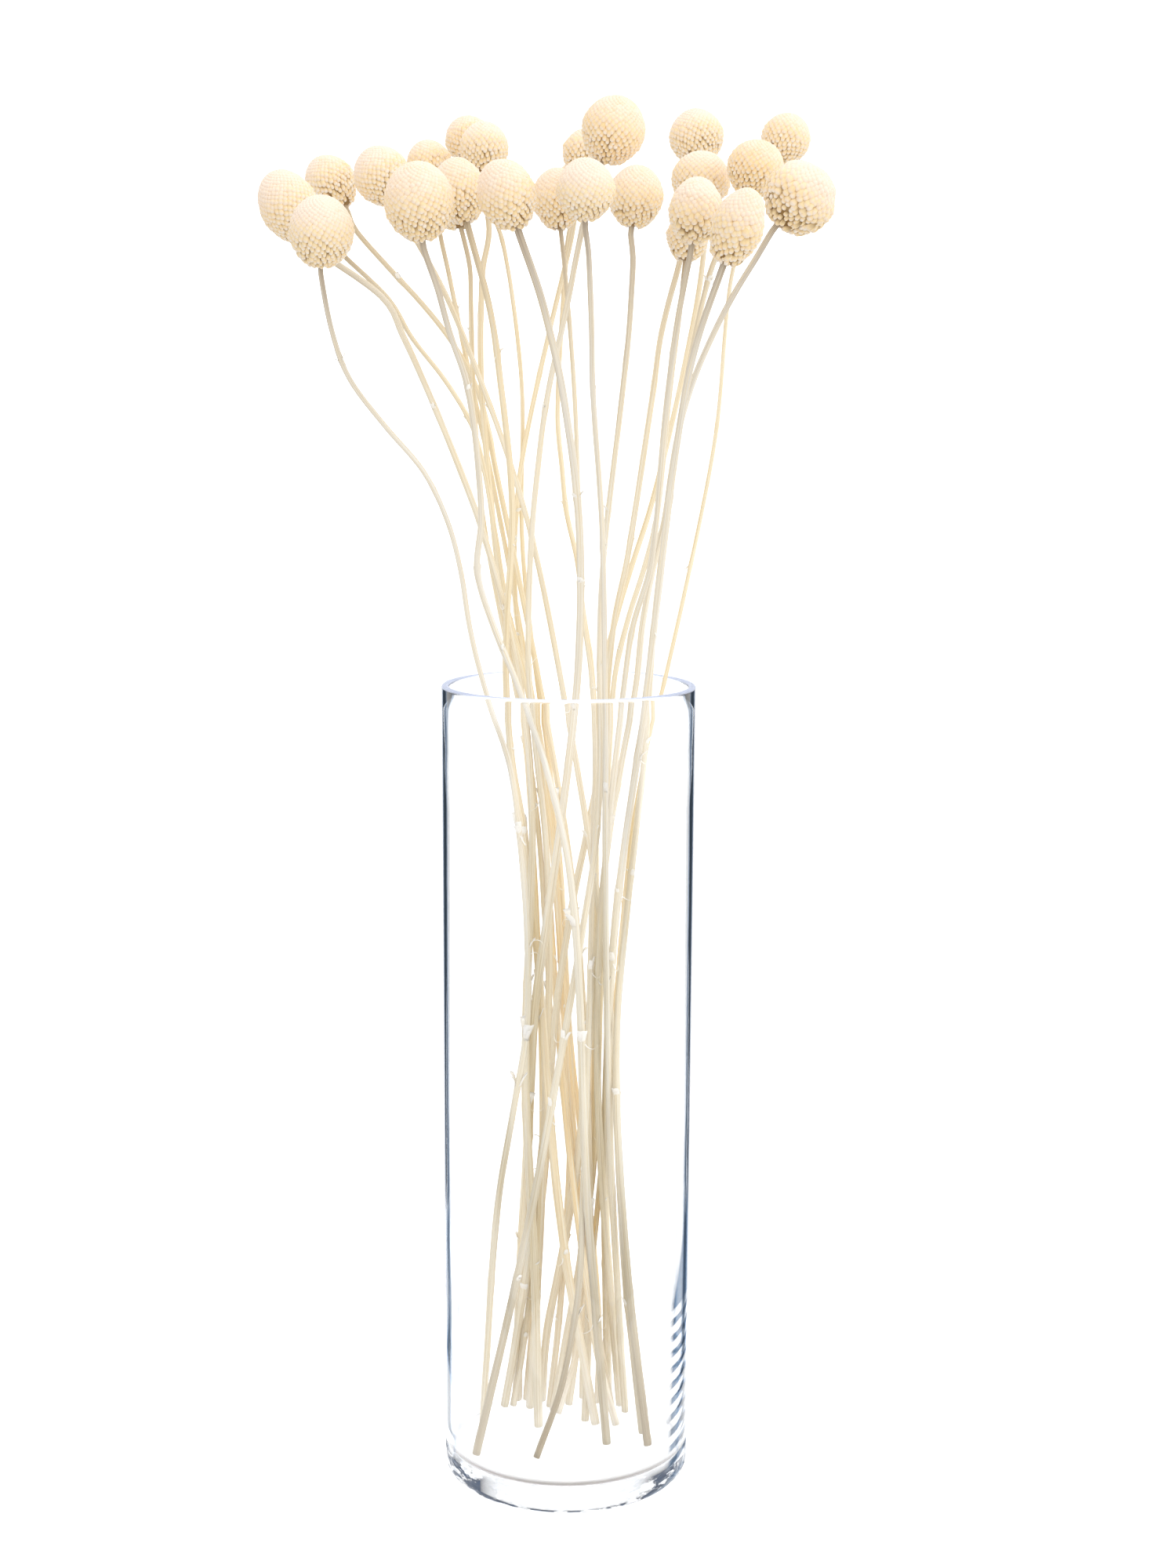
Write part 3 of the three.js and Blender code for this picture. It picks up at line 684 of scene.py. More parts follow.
class GlassPlaces:
    """Where a point of the glass is: its place, and masks from 0 to 1 for the vase's parts."""

    def __init__(self, tree, settings):
        self.place = object_place(tree)
        self.flattened = stretched(tree, self.place, CAST_STRETCH)
        self.side, depth, self.level = separated(tree, self.place)
        squares = [product(tree, part, part) for part in (self.side, depth)]
        reach = arithmetic(tree, "SQRT", total(tree, *squares))
        self.outer = ramp(tree, reach, *OUTER_FACE)
        self.base = product(tree, self.outer, ramp(tree, self.level, settings.floor + 3 * MM,
                                                   settings.floor - 1 * MM))
        self.rim = ramp(tree, self.level, *GROUND_RIM)
        above_floor = ramp(tree, self.level, settings.floor - 1 * MM, settings.floor)
        near_floor = ramp(tree, self.level, settings.floor + 6 * MM, settings.floor + 3 * MM)
        self.corner = product(tree, ramp(tree, reach, *INNER_CORNER),
                              arithmetic(tree, "SUBTRACT", 1, self.outer), above_floor, near_floor)
        slant = arithmetic(tree, "SUBTRACT", self.level, product(tree, depth, RIPPLE_SLANT))
        self.ripple = arithmetic(tree, "SINE",
                                 product(tree, slant, math.tau / settings.ripple_length))
        self.facing = new_node(tree, "ShaderNodeLayerWeight", Blend=0.5).outputs["Facing"]
        self.within = tree.nodes.new("ShaderNodeNewGeometry").outputs["Backfacing"]


def glass_relief(tree, at, settings):
    """A slightly wavy wall, a base that was cast unevenly, and ripples above it on one side."""
    waves = grained(tree, at.place, scale=28, detail=1, roughness=0.4)
    cast = grained(tree, at.flattened, scale=55, detail=3, roughness=0.55)
    rippled = product(tree, ramp(tree, at.side, *RIPPLED_SIDE),
                      ramp(tree, at.level, settings.ripple_height,
                           settings.ripple_height - RIPPLE_FADE))
    height = total(tree, product(tree, waves, settings.waviness),
                   product(tree, cast, at.base, settings.cast_relief),
                   product(tree, at.ripple, rippled, at.outer, settings.ripple_relief))
    return new_bump(tree, height, strength=1, distance=1)


def glass_roughness(tree, at, settings):
    """Faint smears, a ground rim and underside, and rough glass in the inner floor's corner."""
    smears = grained(tree, at.place, scale=60, detail=4, roughness=0.6)
    underside = ramp(tree, at.level, *GROUND_UNDERSIDE)
    return total(tree, product(tree, ramp(tree, smears, *SMEARS), SMEAR_ROUGHNESS),
                 product(tree, at.rim, settings.rim_roughness),
                 product(tree, at.corner, settings.corner_roughness),
                 product(tree, underside, settings.under_roughness))


def painted_edge_marks(tree, at):
    """Painted reflections of dark surroundings: blotches and thin veins, which show in the base
    where it is seen aslant.
    """
    streaks = grained(tree, at.flattened, scale=75, detail=5, roughness=0.65)
    blotches = product(tree, ramp(tree, at.facing, *BLOTCHES_SHOW), ramp(tree, streaks, *BLOTCHES))
    offset = arithmetic(tree, "ABSOLUTE", arithmetic(tree, "SUBTRACT", streaks, VEIN_MIDDLE))
    veins = product(tree, ramp(tree, at.facing, *VEINS_SHOW), ramp(tree, offset, *VEIN_EDGES))
    return arithmetic(tree, "MAXIMUM", blotches, veins)


def painted_dark_edge(tree, at, settings):
    """A painted reflection of dark surroundings: a wedge down the rippled side, which widens as it
    falls and breaks up into bands.
    """
    spread = ramp(tree, at.level, settings.wedge_top, settings.ripple_height)
    threshold = arithmetic(tree, "SUBTRACT", 1, product(tree, spread, settings.wedge_share))
    wedge = ramp(tree, arithmetic(tree, "SUBTRACT", at.facing, threshold), *EDGE_BLUR)
    whole = ramp(tree, at.level, settings.ripple_height - EDGE_BREAKS_UP, settings.ripple_height)
    banded = arithmetic(tree, "MAXIMUM", whole, ramp(tree, at.ripple, *RIPPLE_BANDS))
    return product(tree, wedge, banded, at.outer, ramp(tree, at.side, *DARK_SIDE))


def glass_material(settings):
    """Clear soda glass that takes a cool tint where it is thick. Painted reflections of dark
    surroundings stand as marks at the sides of its base and as a dark edge on its rippled side, a
    painted reflection of the stems darkens the inner floor's corner seen through the wall, and
    light gathers in its rim and its base."""
    material, tree, shader = new_material("clear_glass")
    at = GlassPlaces(tree, settings)
    # Painted dark reflections at the sides of the base, where it is seen aslant.
    painted_marks = painted_edge_marks(tree, at)
    tree.links.new(glass_relief(tree, at, settings), shader.inputs["Normal"])
    tree.links.new(glass_roughness(tree, at, settings), shader.inputs["Roughness"])
    colour = WHITE
    for mask, stain in ((product(tree, at.base, painted_marks), settings.painted_edge_shade_colour),
                        # painted dark reflection down the rippled side
                        (painted_dark_edge(tree, at, settings), settings.painted_wedge_colour),
                        (at.rim, settings.rim_colour),
                        # painted reflection of the stems in the inner floor's corner
                        (product(tree, at.corner, at.within), settings.corner_reflection_colour)):
        colour = blend_colours(tree, mask, colour, stain)
    tree.links.new(colour, shader.inputs["Base Color"])
    clear_base = product(tree, at.base, arithmetic(tree, "SUBTRACT", 1, painted_marks))
    caught = blend_colours(tree, clear_base, BLACK, settings.base_light)
    caught = blend_colours(tree, at.rim, caught, settings.rim_light)
    tree.links.new(caught, shader.inputs["Emission Color"])
    set_inputs(shader, Emission_Strength=1, Transmission_Weight=1, Metallic=0, IOR=1.5)
    absorption = new_node(tree, "ShaderNodeVolumeAbsorption", Color=(*settings.tint, 1),
                          Density=settings.tint_density)
    tree.links.new(absorption.outputs[0], tree.nodes["Material Output"].inputs["Volume"])
    return material


# ---------------------------------------------------------------- pieces


FLORET_SIDES = 6
TINY = 1e-6
# A head is packed in this many bands, and florets reach full width at this angle from its crown.
PACKING_BANDS = 160
FULL_WIDTH_ANGLE = 0.55 * math.pi
# About how many of a head's lumps would follow one another in a metre.
LUMP_SCALE = 110
# Angle that florets keep from the poles, and over which the way down a head is taken.
SLIGHT_ANGLE = 0.05
# A floret's girth as a share of its spacing: plump on top, slimmer below, and more so past the
# middle. Then how uneven girths and lengths are at the crown, and how much more at the underside.
PLUMPEST = 1.85
SLIMMEST = 0.95
SLIMMING = 0.7
LOW_SLIMMING = 1.3
TOP_UNEVENNESS = 0.05
GIRTH_UNEVENNESS = 0.05
LENGTH_UNEVENNESS = 0.08
# Florets stand looser the lower they are, from this share at the crown, and looser on coarse
# heads, by this power of the coarseness.
TOP_LOOSENESS = 0.1
COARSE_POWER = 4
# Each is turned about its own axis by up to this angle, and its tone strays from its head's.
FLORET_TURN = 6
TONE_SPREAD = 0.3
# Some florets below this place on a head are open, more of them the lower they stand.
OPEN_FROM = 0.6
OPEN_SHARE = 0.3


def add_piece(name, shape, material, slot, *nodes):
    """Turns a bmesh into a smooth-shaded piece that stands for the named nodes."""
    mesh = bpy.data.meshes.new(name)
    shape.to_mesh(mesh)
    shape.free()
    mesh.shade_smooth()
    mesh.materials.append(material)
    piece = bpy.data.objects.new(name, mesh)
    bpy.context.scene.collection.objects.link(piece)
    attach(piece, BODY)
    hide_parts(*nodes)
    return piece


def floret_mesh(name, profile):
    """One floret a unit wide and a unit long, from its tip's middle down to its root: height,
    radius and share of the tip's colour at each ring."""
    floret = bmesh.new()
    layers = {layer: floret.verts.layers.float.new(layer) for layer in FLORET_LAYERS}
    last = len(profile) - 1
    bmesh.ops.create_uvsphere(floret, u_segments=FLORET_SIDES, v_segments=last, radius=1)
    for vert in floret.verts:
        level = round(math.acos(max(-1, min(1, vert.co.z))) / math.pi * last)
        height, radius, share = profile[level]
        flat = Vector((vert.co.x, vert.co.y, 0))
        if flat.length > TINY:
            flat = flat.normalized() * radius
        vert.co = flat + Vector((0, 0, height))
        vert[layers["tip"]] = share
    mesh = bpy.data.meshes.new(name)
    floret.to_mesh(mesh)
    floret.free()
    return mesh


def closed_floret():
    """A bud: a slim root, a full body and a round tip."""
    return floret_mesh("closed_floret", ((0.0, 0.0, 1.0), (-0.06, 0.3, 0.97), (-0.22, 0.47, 0.72),
                                         (-0.5, 0.46, 0.4), (-0.8, 0.26, 0.1), (-1.0, 0.0, 0.0)))


def open_floret():
    """A floret whose tip has opened: the same body round a small dark mouth."""
    return floret_mesh("open_floret", ((-0.12, 0.0, 0.0), (0.0, 0.27, 0.9), (-0.2, 0.48, 0.9),
                                       (-0.5, 0.42, 0.6), (-0.8, 0.24, 0.1), (-1.0, 0.0, 0.0)))


def floret_sites(shape, settings, coarseness):
    """Angles from the crown for a sunflower spiral that packs each part of the head as closely
    as its florets are wide."""
    band_angle = math.pi / PACKING_BANDS
    packed = [0.0]
    for band in range(PACKING_BANDS):
        width = floret_width(band_angle * (band + 0.5), settings) * coarseness
        start = shape.ring(band_angle * band)
        end = shape.ring(band_angle * (band + 1))
        area = math.dist(start, end) * math.pi * (start[1] + end[1])
        packed.append(packed[-1] + area / (width * width))
    band = 0
    for index in range(int(packed[-1])):
        while packed[band + 1] < index + 0.5:
            band += 1
        share = (index + 0.5 - packed[band]) / (packed[band + 1] - packed[band])
        yield index, band_angle * (band + share)


def floret_width(polar, settings):
    """Spacing of the florets at an angle from the crown."""
    share = min(1, polar / FULL_WIDTH_ANGLE)
    return settings.top_width + (settings.low_width - settings.top_width) * share


def lump(point, number, depth):
    """How far a head's surface swells or sinks at a point."""
    return depth * MM * noise.noise(point * LUMP_SCALE + Vector((0, 0, int(number))))


def lowness(polar):
    """A place on a head, from the crown at 0 to the underside at 1, for an angle."""
    return (1 - math.cos(polar)) / 2


def add_core(head, shape, number, warmth, layers, settings):
    """The ball on which a head's florets stand."""
    lumps = HEAD_LUMPS.get(number, USUAL_LUMPS)
    bmesh.ops.create_icosphere(head, subdivisions=3, radius=1)
    for vert in head.verts:
        polar = math.acos(max(-1, min(1, vert.co.z)))
        point, normal = shape.place(polar, math.atan2(vert.co.y, vert.co.x))
        vert.co = point + normal * (lump(point, number, lumps) - settings.core_depth)
        vert[layers["low"]] = lowness(polar)
        vert[layers["tone"]] = warmth


def floret_size(below, width, settings, chance):
    """Girth and length of a floret at a place on a head."""
    slimmer = SLIMMING * below + LOW_SLIMMING * max(0, below - 0.5)
    uneven = chance.gauss(1, TOP_UNEVENNESS + GIRTH_UNEVENNESS * below)
    girth = width * max(SLIMMEST, PLUMPEST - slimmer) * uneven
    uneven = chance.gauss(1, TOP_UNEVENNESS + LENGTH_UNEVENNESS * below)
    return girth, settings.floret_length * uneven


def build_head(number, florets, material, settings):
    """A core, and the florets that stand round it."""
    shape = HeadShape(number)
    chance = random.Random("head " + number)
    warmth = HEAD_WARMTH.get(number, 0.0)
    coarseness = HEAD_COARSENESS.get(number, 1.0)
    lumps = HEAD_LUMPS.get(number, USUAL_LUMPS)
    head = bmesh.new()
    layers = {name: head.verts.layers.float.new(name) for name in FLORET_LAYERS}
    add_core(head, shape, number, warmth, layers, settings)
    rests = [[spot.co.copy() for spot in floret.vertices] for floret in florets]
    for index, polar in floret_sites(shape, settings, coarseness):
        below = lowness(polar)
        width = floret_width(polar, settings) * coarseness
        loose = settings.looseness * coarseness ** COARSE_POWER * (TOP_LOOSENESS + below)
        spread = loose * width / shape.girth
        angle = index * GOLDEN_ANGLE + chance.gauss(0, spread)
        polar = polar + chance.gauss(0, spread)
        polar = min(math.pi - SLIGHT_ANGLE, max(SLIGHT_ANGLE, polar))
        point, normal = shape.place(polar, angle)
        above, beneath = [shape.place(polar + nudge, angle)[0]
                          for nudge in (-SLIGHT_ANGLE, SLIGHT_ANGLE)]
        down = (beneath - above).normalized()
        off_axis = (point - shape.centre).cross(shape.axis).length
        if below > 0.5 and off_axis < shape.stem_radius + width / 2:
            continue
        tilt = settings.droop * min(1, below / 0.5)
        wobble = Vector([chance.gauss(0, loose) for axis in range(3)])
        out = (normal * math.cos(tilt) + down * math.sin(tilt) + wobble).normalized()
        girth, length = floret_size(below, width, settings, chance)
        rise = (chance.gauss(0, 0.5) * loose * width + lump(point, number, lumps)
                - settings.sink * tilt)
        seat = (Matrix.Translation(point + normal * rise)
                @ out.to_track_quat("Z", "Y").to_matrix().to_4x4()
                @ Matrix.Rotation(chance.uniform(0, FLORET_TURN), 4, "Z")
                @ Matrix.Diagonal((girth, girth, length, 1)))
        tone = warmth + chance.gauss(0, TONE_SPREAD)
        opened = chance.random() < OPEN_SHARE * max(0, below - OPEN_FROM)
        floret, rest = florets[opened], rests[opened]
        for name, value in (("tone", tone), ("low", below)):
            floret.attributes[name].data.foreach_set("value", [value] * len(rest))
        floret.vertices.foreach_set("co", [c for co in rest for c in seat @ co])
        head.from_mesh(floret)
    for floret, rest in zip(florets, rests):
        floret.vertices.foreach_set("co", [c for co in rest for c in co])
    add_piece("florets_" + number, head, material, "floret_cream", "head_" + number)


# A stem's tone runs from golden, -1, to bleached grey, 1, and is greyer towards the front.
USUAL_TONE = 0.45
TONE_RANGE = 0.2
TONE_BY_DEPTH = 0.9
# A stem swells at its scars, and wavers in girth round and along its length.
SCAR_SWELLING = 0.16
SCAR_REACH = 2.4 * MM
WAVER = 0.07
WAVER_ROUND = 1.3
WAVER_ALONG = 45
FIBRE_ALONG = 14
# Scars come at shares of their usual spacing, and usual ones keep clear of plain ones.
FIRST_SCAR = (0.3, 1.0)
NEXT_SCAR = (0.6, 1.4)
BARE_END = 1 / 3
SCAR_CLEARANCE = 1 / 4
# How many leaf bases a plain scar and a usual one may keep, and how their lengths vary. Those at
# plain and at usual scars are this much longer than the usual length, and shorter above the rim.
PLAIN_LEAVES = (2, 3)
USUAL_LEAVES = (0, 1, 1)
LEAF_LENGTHS = (0.5, 1.1)
PLAIN_LENGTH = 1.9
USUAL_LENGTH = 1.1
HIGH_LENGTH = 0.7
# The share of the usual scars that keep a shred, inside the vase and above its rim.
SHRED_SHARE = 0.6
HIGH_SHRED_SHARE = 0.2
# A leaf base: its half width as an angle round the stem and how it narrows, how far its tip curls
# away as a share of its length, and how far it is torn and crumpled.
LEAF_HALF_WIDTH = (0.5, 1.2)
LEAF_TAPER = 0.6
LEAF_CURL = (0.15, 0.6)
LEAF_TEAR = 1.2 * MM
LEAF_CRUMPLE = 0.5 * MM
LEAF_BELOW_SCAR = 0.15
LEAF_THICKNESS = 0.16 * MM
# A shred: its length in millimetres, the angle that it bends through, its half width and its
# sideways wander, and how often it hangs.
SHRED_LENGTH = (5, 12)
SHRED_BEND = (1.5, 4)
SHRED_HALF_WIDTH = 0.45 * MM
SHRED_WANDER = 0.8 * MM
HANGING_SHARE = 0.6
SHRED_THICKNESS = 0.14 * MM


def stem_line(middles, radii, step):
    """Points, radii and lengths along a smooth line through the rings, a step apart."""
    ends = [2 * middles[0] - middles[1], *middles, 2 * middles[-1] - middles[-2]]
    points = []
    gauges = []
    for k in range(len(middles) - 1):
        before, start, end, after = ends[k:k + 4]
        count = max(1, round((end - start).length / step))
        for part in range(count):
            share = part / count
            points.append(catmull_rom(before, start, end, after, share))
            gauges.append(radii[k] + (radii[k + 1] - radii[k]) * share)
    points.append(middles[-1])
    gauges.append(radii[-1])
    lengths = [0.0]
    for start, end in zip(points, points[1:]):
        lengths.append(lengths[-1] + (end - start).length)
    return points, gauges, lengths


def catmull_rom(before, start, end, after, share):
    """The point at a share of the way from start to end on a smooth curve through all four."""
    square = share * share
    cube = square * share
    return 0.5 * (2 * start + (end - before) * share
                  + (2 * before - 5 * start + 4 * end - after) * square
                  + (3 * start - before - 3 * end + after) * cube)


def heading(points, k):
    """Direction of a line at one of its points."""
    return (points[min(k + 1, len(points) - 1)] - points[max(k - 1, 0)]).normalized()


def scar_lengths(number, whole, settings, chance):
    """Where along a stem its leaves sat, and whether each scar stands out."""
    plain = [length * MM for length in PLAIN_SCARS.get(number, ())]
    at = settings.scar_spacing * chance.uniform(*FIRST_SCAR)
    while at < whole - settings.scar_spacing * BARE_END:
        if all(abs(at - other) > settings.scar_spacing * SCAR_CLEARANCE for other in plain):
            yield at, False
        at += settings.scar_spacing * chance.uniform(*NEXT_SCAR)
    for length in plain:
        yield length, True


def build_stem(number, material, settings):
    """A round stem drawn out ring by ring and swollen at its scars, with torn leaf bases and
    shreds at them."""
    line = stem_line(*stem_rings("stem_" + number), settings.ring_step)
    points, gauges, lengths = line
    chance = random.Random("stem " + number)
    usual_tone = (USUAL_TONE + chance.uniform(-TONE_RANGE, TONE_RANGE)
                  - STEM_WARMTH.get(number, 0.0))
    tones = [min(1, max(-1, usual_tone - TONE_BY_DEPTH * point.y / VASE_RADIUS))
             for point in points]
    scars = list(scar_lengths(number, lengths[-1], settings, chance))
    stem = bmesh.new()
    layers = {"fibre": stem.verts.layers.float_vector.new("fibre")}
    layers.update({name: stem.verts.layers.float.new(name) for name in STEM_LAYERS})
    ring = bmesh.ops.create_circle(stem, cap_ends=True, radius=1, segments=settings.sides)["verts"]
    side = Vector((1, 0, 0))
    unit = [vert.co.copy() for vert in ring]
    phase = chance.uniform(0, 100)
    for k, (point, gauge, length) in enumerate(zip(points, gauges, lengths)):
        if k:
            drawn = bmesh.ops.extrude_edge_only(stem, edges=ring_edges(ring))["geom"]
            ring = matched(ring, [vert for vert in drawn if isinstance(vert, bmesh.types.BMVert)])
        along = heading(points, k)
        side = (side - along * side.dot(along)).normalized()
        back = along.cross(side)
        swelling = 1 + sum(SCAR_SWELLING * math.exp(-((length - scar) / SCAR_REACH) ** 2)
                           for scar, plain in scars)
        for vert, corner in zip(ring, unit):
            wave = noise.noise(Vector((corner.x * WAVER_ROUND, corner.y * WAVER_ROUND,
                                       length * WAVER_ALONG + phase)))
            radius = gauge * swelling * (1 + WAVER * wave)
            vert.co = point + (side * corner.x + back * corner.y) * radius
            vert[layers["fibre"]] = Vector((corner.x, corner.y, length * FIBRE_ALONG + phase))
            vert[layers["tone"]] = tones[k]
            # Share of painted shadow on the neck, which fades away from the head.
            vert[layers["neck"]] = math.exp(-(lengths[-1] - length) / settings.neck_length)
    bmesh.ops.contextual_create(stem, geom=ring_edges(ring))
    for scar, plain in scars:
        inside = scar < RIM_LEVEL
        for leaf in range(chance.choice(PLAIN_LEAVES if plain else USUAL_LEAVES)):
            tall = settings.flake_length * chance.uniform(*LEAF_LENGTHS)
            tall *= (PLAIN_LENGTH if plain else USUAL_LENGTH) if inside else HIGH_LENGTH
            add_flake(stem, scar, tall, line, chance, layers, tones[-1])
        if plain or chance.random() < (SHRED_SHARE if inside else HIGH_SHRED_SHARE):
            add_curl(stem, scar, line, chance, layers, tones[-1])
    bmesh.ops.recalc_face_normals(stem, faces=stem.faces)
    add_piece("straw_" + number, stem, material, "stem_straw", "stem_" + number)


def ring_edges(ring):
    """The edges between neighbours in a ring."""
    return list({edge for vert in ring for edge in vert.link_edges
                 if edge.verts[0] in ring and edge.verts[1] in ring})


def matched(ring, drawn):
    """The newly drawn corners in the order of the ring that they came from."""
    drawn = set(drawn)
    return [next(edge.other_vert(vert) for edge in vert.link_edges
                 if edge.other_vert(vert) in drawn) for vert in ring]


def scar_place(scar, line, chance):
    """The stem's middle, gauge and directions at a scar: along it, out of one side and across."""
    points, gauges, lengths = line
    k = min(range(len(lengths)), key=lambda n: abs(lengths[n] - scar))
    along = heading(points, k)
    angle = chance.uniform(0, 2 * math.pi)
    out = Vector((math.cos(angle), math.sin(angle), 0))
    out = (out - along * out.dot(along)).normalized()
    return points[k], gauges[k], along, out, along.cross(out)


def thicken(shape, sheet, thickness):
    """Gives a thin sheet two sides and an edge."""
    faces = list({face for vert in sheet for face in vert.link_faces})
    bmesh.ops.solidify(shape, geom=faces, thickness=thickness)


def add_flake(stem, scar, tall, line, chance, layers, tone):
    """A torn papery leaf base that clasps the stem at a scar and curls away above it."""
    middle, gauge, along, out, across = scar_place(scar, line, chance)
    half_width = chance.uniform(*LEAF_HALF_WIDTH)
    sheet = bmesh.ops.create_grid(stem, x_segments=3, y_segments=5, size=1)["verts"]
    curl = chance.uniform(*LEAF_CURL)
    for vert in sheet:
        up = (vert.co.y + 1) / 2
        turn = vert.co.x * half_width * (1 - LEAF_TAPER * up ** 2)
        tear = noise.noise(Vector((vert.co.x * 3, up * 4, scar * 90)))
        lift = gauge * 1.05 + curl * tall * up ** 2 + tear * LEAF_CRUMPLE * up
        vert.co = (middle + along * (tall * (up - LEAF_BELOW_SCAR) + tear * LEAF_TEAR)
                   + (out * math.cos(turn) + across * math.sin(turn)) * lift)
        vert[layers["fibre"]] = Vector((turn, up, scar * FIBRE_ALONG))
        vert[layers["flake"]] = min(1, 0.35 + up)
        vert[layers["tone"]] = tone
    thicken(stem, sheet, LEAF_THICKNESS)


def add_curl(stem, scar, line, chance, layers, tone):
    """A narrow shred of leaf that peels off at a scar and curls as it hangs or stands."""
    middle, gauge, along, out, across = scar_place(scar, line, chance)
    if chance.random() < HANGING_SHARE:
        along = -along
    tall = chance.uniform(*SHRED_LENGTH) * MM
    bend = chance.uniform(*SHRED_BEND)
    shred = bmesh.ops.create_grid(stem, x_segments=1, y_segments=9, size=1)["verts"]
    for vert in shred:
        up = (vert.co.y + 1) / 2
        swing = bend * up
        reach = gauge * 0.9 + tall / bend * (1 - math.cos(swing))
        half_width = vert.co.x * SHRED_HALF_WIDTH * (1.1 - up)
        wander = SHRED_WANDER * math.sin(2.5 * up)
        vert.co = (middle + along * (tall / bend * math.sin(swing)) + out * reach
                   + across * (half_width + wander))
        vert[layers["fibre"]] = Vector((vert.co.x, up, scar * FIBRE_ALONG))
        vert[layers["flake"]] = 0.8
        vert[layers["tone"]] = tone
    thicken(stem, shred, SHRED_THICKNESS)


def vase_profile(settings):
    """Half of the vase's section, from the middle of its underside to the middle of its floor."""
    rim = settings.wall / 2
    inner = VASE_RADIUS - settings.wall
    outline = [(0, 0)]
    outline += arc(VASE_RADIUS - settings.foot_round, settings.foot_round, settings.foot_round,
                   -90, 0, settings.arc_steps)
    outline += arc(VASE_RADIUS - rim, RIM_LEVEL - rim, rim, 0, 180, settings.arc_steps)
    level = RIM_LEVEL - rim - settings.wall_step
    while level > settings.floor + settings.inner_round + settings.wall_step / 2:
        outline.append((VASE_RADIUS - wall_at(level), level))
        level -= settings.wall_step
    outline += arc(inner - settings.inner_round, settings.floor + settings.inner_round,
                   settings.inner_round, 0, -90, settings.arc_steps)
    outline.append((0, settings.floor))
    return outline


def wall_at(level):
    """Thickness of the wall at a height, eased from one given height to the next."""
    for (above, thick_above), (below, thick_below) in zip(VASE_WALL, VASE_WALL[1:]):
        if level >= below * MM:
            share = min(1, (above * MM - level) / ((above - below) * MM))
            eased = share * share * (3 - 2 * share)
            return (thick_above + (thick_below - thick_above) * eased) * MM
    return VASE_WALL[-1][1] * MM


def arc(middle_x, middle_z, radius, start, end, steps):
    """Points on an arc, between two angles in degrees."""
    angles = [math.radians(start + (end - start) * step / steps) for step in range(steps + 1)]
    return [(middle_x + radius * math.cos(a), middle_z + radius * math.sin(a)) for a in angles]


def build_vase(settings):
    """The glass, spun from its half section."""
    glass = bmesh.new()
    corners = [glass.verts.new((x, 0, z)) for x, z in vase_profile(settings)]
    edges = [glass.edges.new(pair) for pair in zip(corners, corners[1:])]
    bmesh.ops.spin(glass, geom=corners + edges, cent=(0, 0, 0), axis=(0, 0, 1),
                   angle=2 * math.pi, steps=settings.around, use_merge=True)
    bmesh.ops.remove_doubles(glass, verts=glass.verts, dist=0.01 * MM)
    bmesh.ops.recalc_face_normals(glass, faces=glass.faces)
    vase = add_piece("glass_vase", glass, glass_material(settings), "clear_glass", "vase")
    vase.visible_shadow = False
    vase.visible_diffuse = False


# ---------------------------------------------------------------- stage


FLOOR_SEGMENTS = 96
GRAIN_LIGHTENS = 1.02
# Heights of a direction, from -1 for straight down to 1 for straight up: where the dark screens
# end above and below, where their feet are moved aside, and where the light from overhead and
# from below takes over.
SCREEN_TOP = (0.1, 0.0)
SCREEN_FOOT = (-0.55, -0.48)
SHIFTED_FOOT = (-0.41, -0.44)
OVERHEAD = (0.3, 0.95)
FROM_BELOW = (0.2, -0.8)
# Half the angle from one clear view of the glass to the next.
SCREEN_REPEAT = math.pi / 4
FRINGE_WIDTH = math.radians(3)
SCREEN_BLUR = 0.04
SOFT_BOX_SIDE = 1.4
SOFT_BOX_PLACE = (0.35, -0.35, 2.1)
SOFT_BOX_AIM = (0, 0, 0.55)
SENSOR_WIDTH = 36


def floor_material(settings):
    """A pale even ground with a faint grain, lit a little from within."""
    material, tree, shader = new_material("pale_floor")
    grain = grained(tree, object_place(tree), scale=40, detail=2)
    paler = [min(1, c * GRAIN_LIGHTENS) for c in settings.floor_colour]
    tree.links.new(blend_colours(tree, grain, settings.floor_colour, paler),
                   shader.inputs["Base Color"])
    set_inputs(shader, Roughness=0.9, Specular_IOR_Level=0.1, Emission_Color=(*WHITE, 1),
               Emission_Strength=settings.floor_glow)
    return material


def build_floor(settings):
    """A wide pale floor just under the vase."""
    disc = bmesh.new()
    bmesh.ops.create_circle(disc, cap_ends=True, radius=settings.floor_radius,
                            segments=FLOOR_SEGMENTS)
    bmesh.ops.translate(disc, verts=disc.verts, vec=(0, 0, -settings.floor_drop))
    mesh = bpy.data.meshes.new("floor")
    disc.to_mesh(mesh)
    disc.free()
    mesh.materials.append(floor_material(settings))
    floor = bpy.data.objects.new("floor", mesh)
    floor.visible_diffuse = False
    floor.visible_transmission = False
    floor.visible_glossy = False
    bpy.context.scene.collection.objects.link(floor)


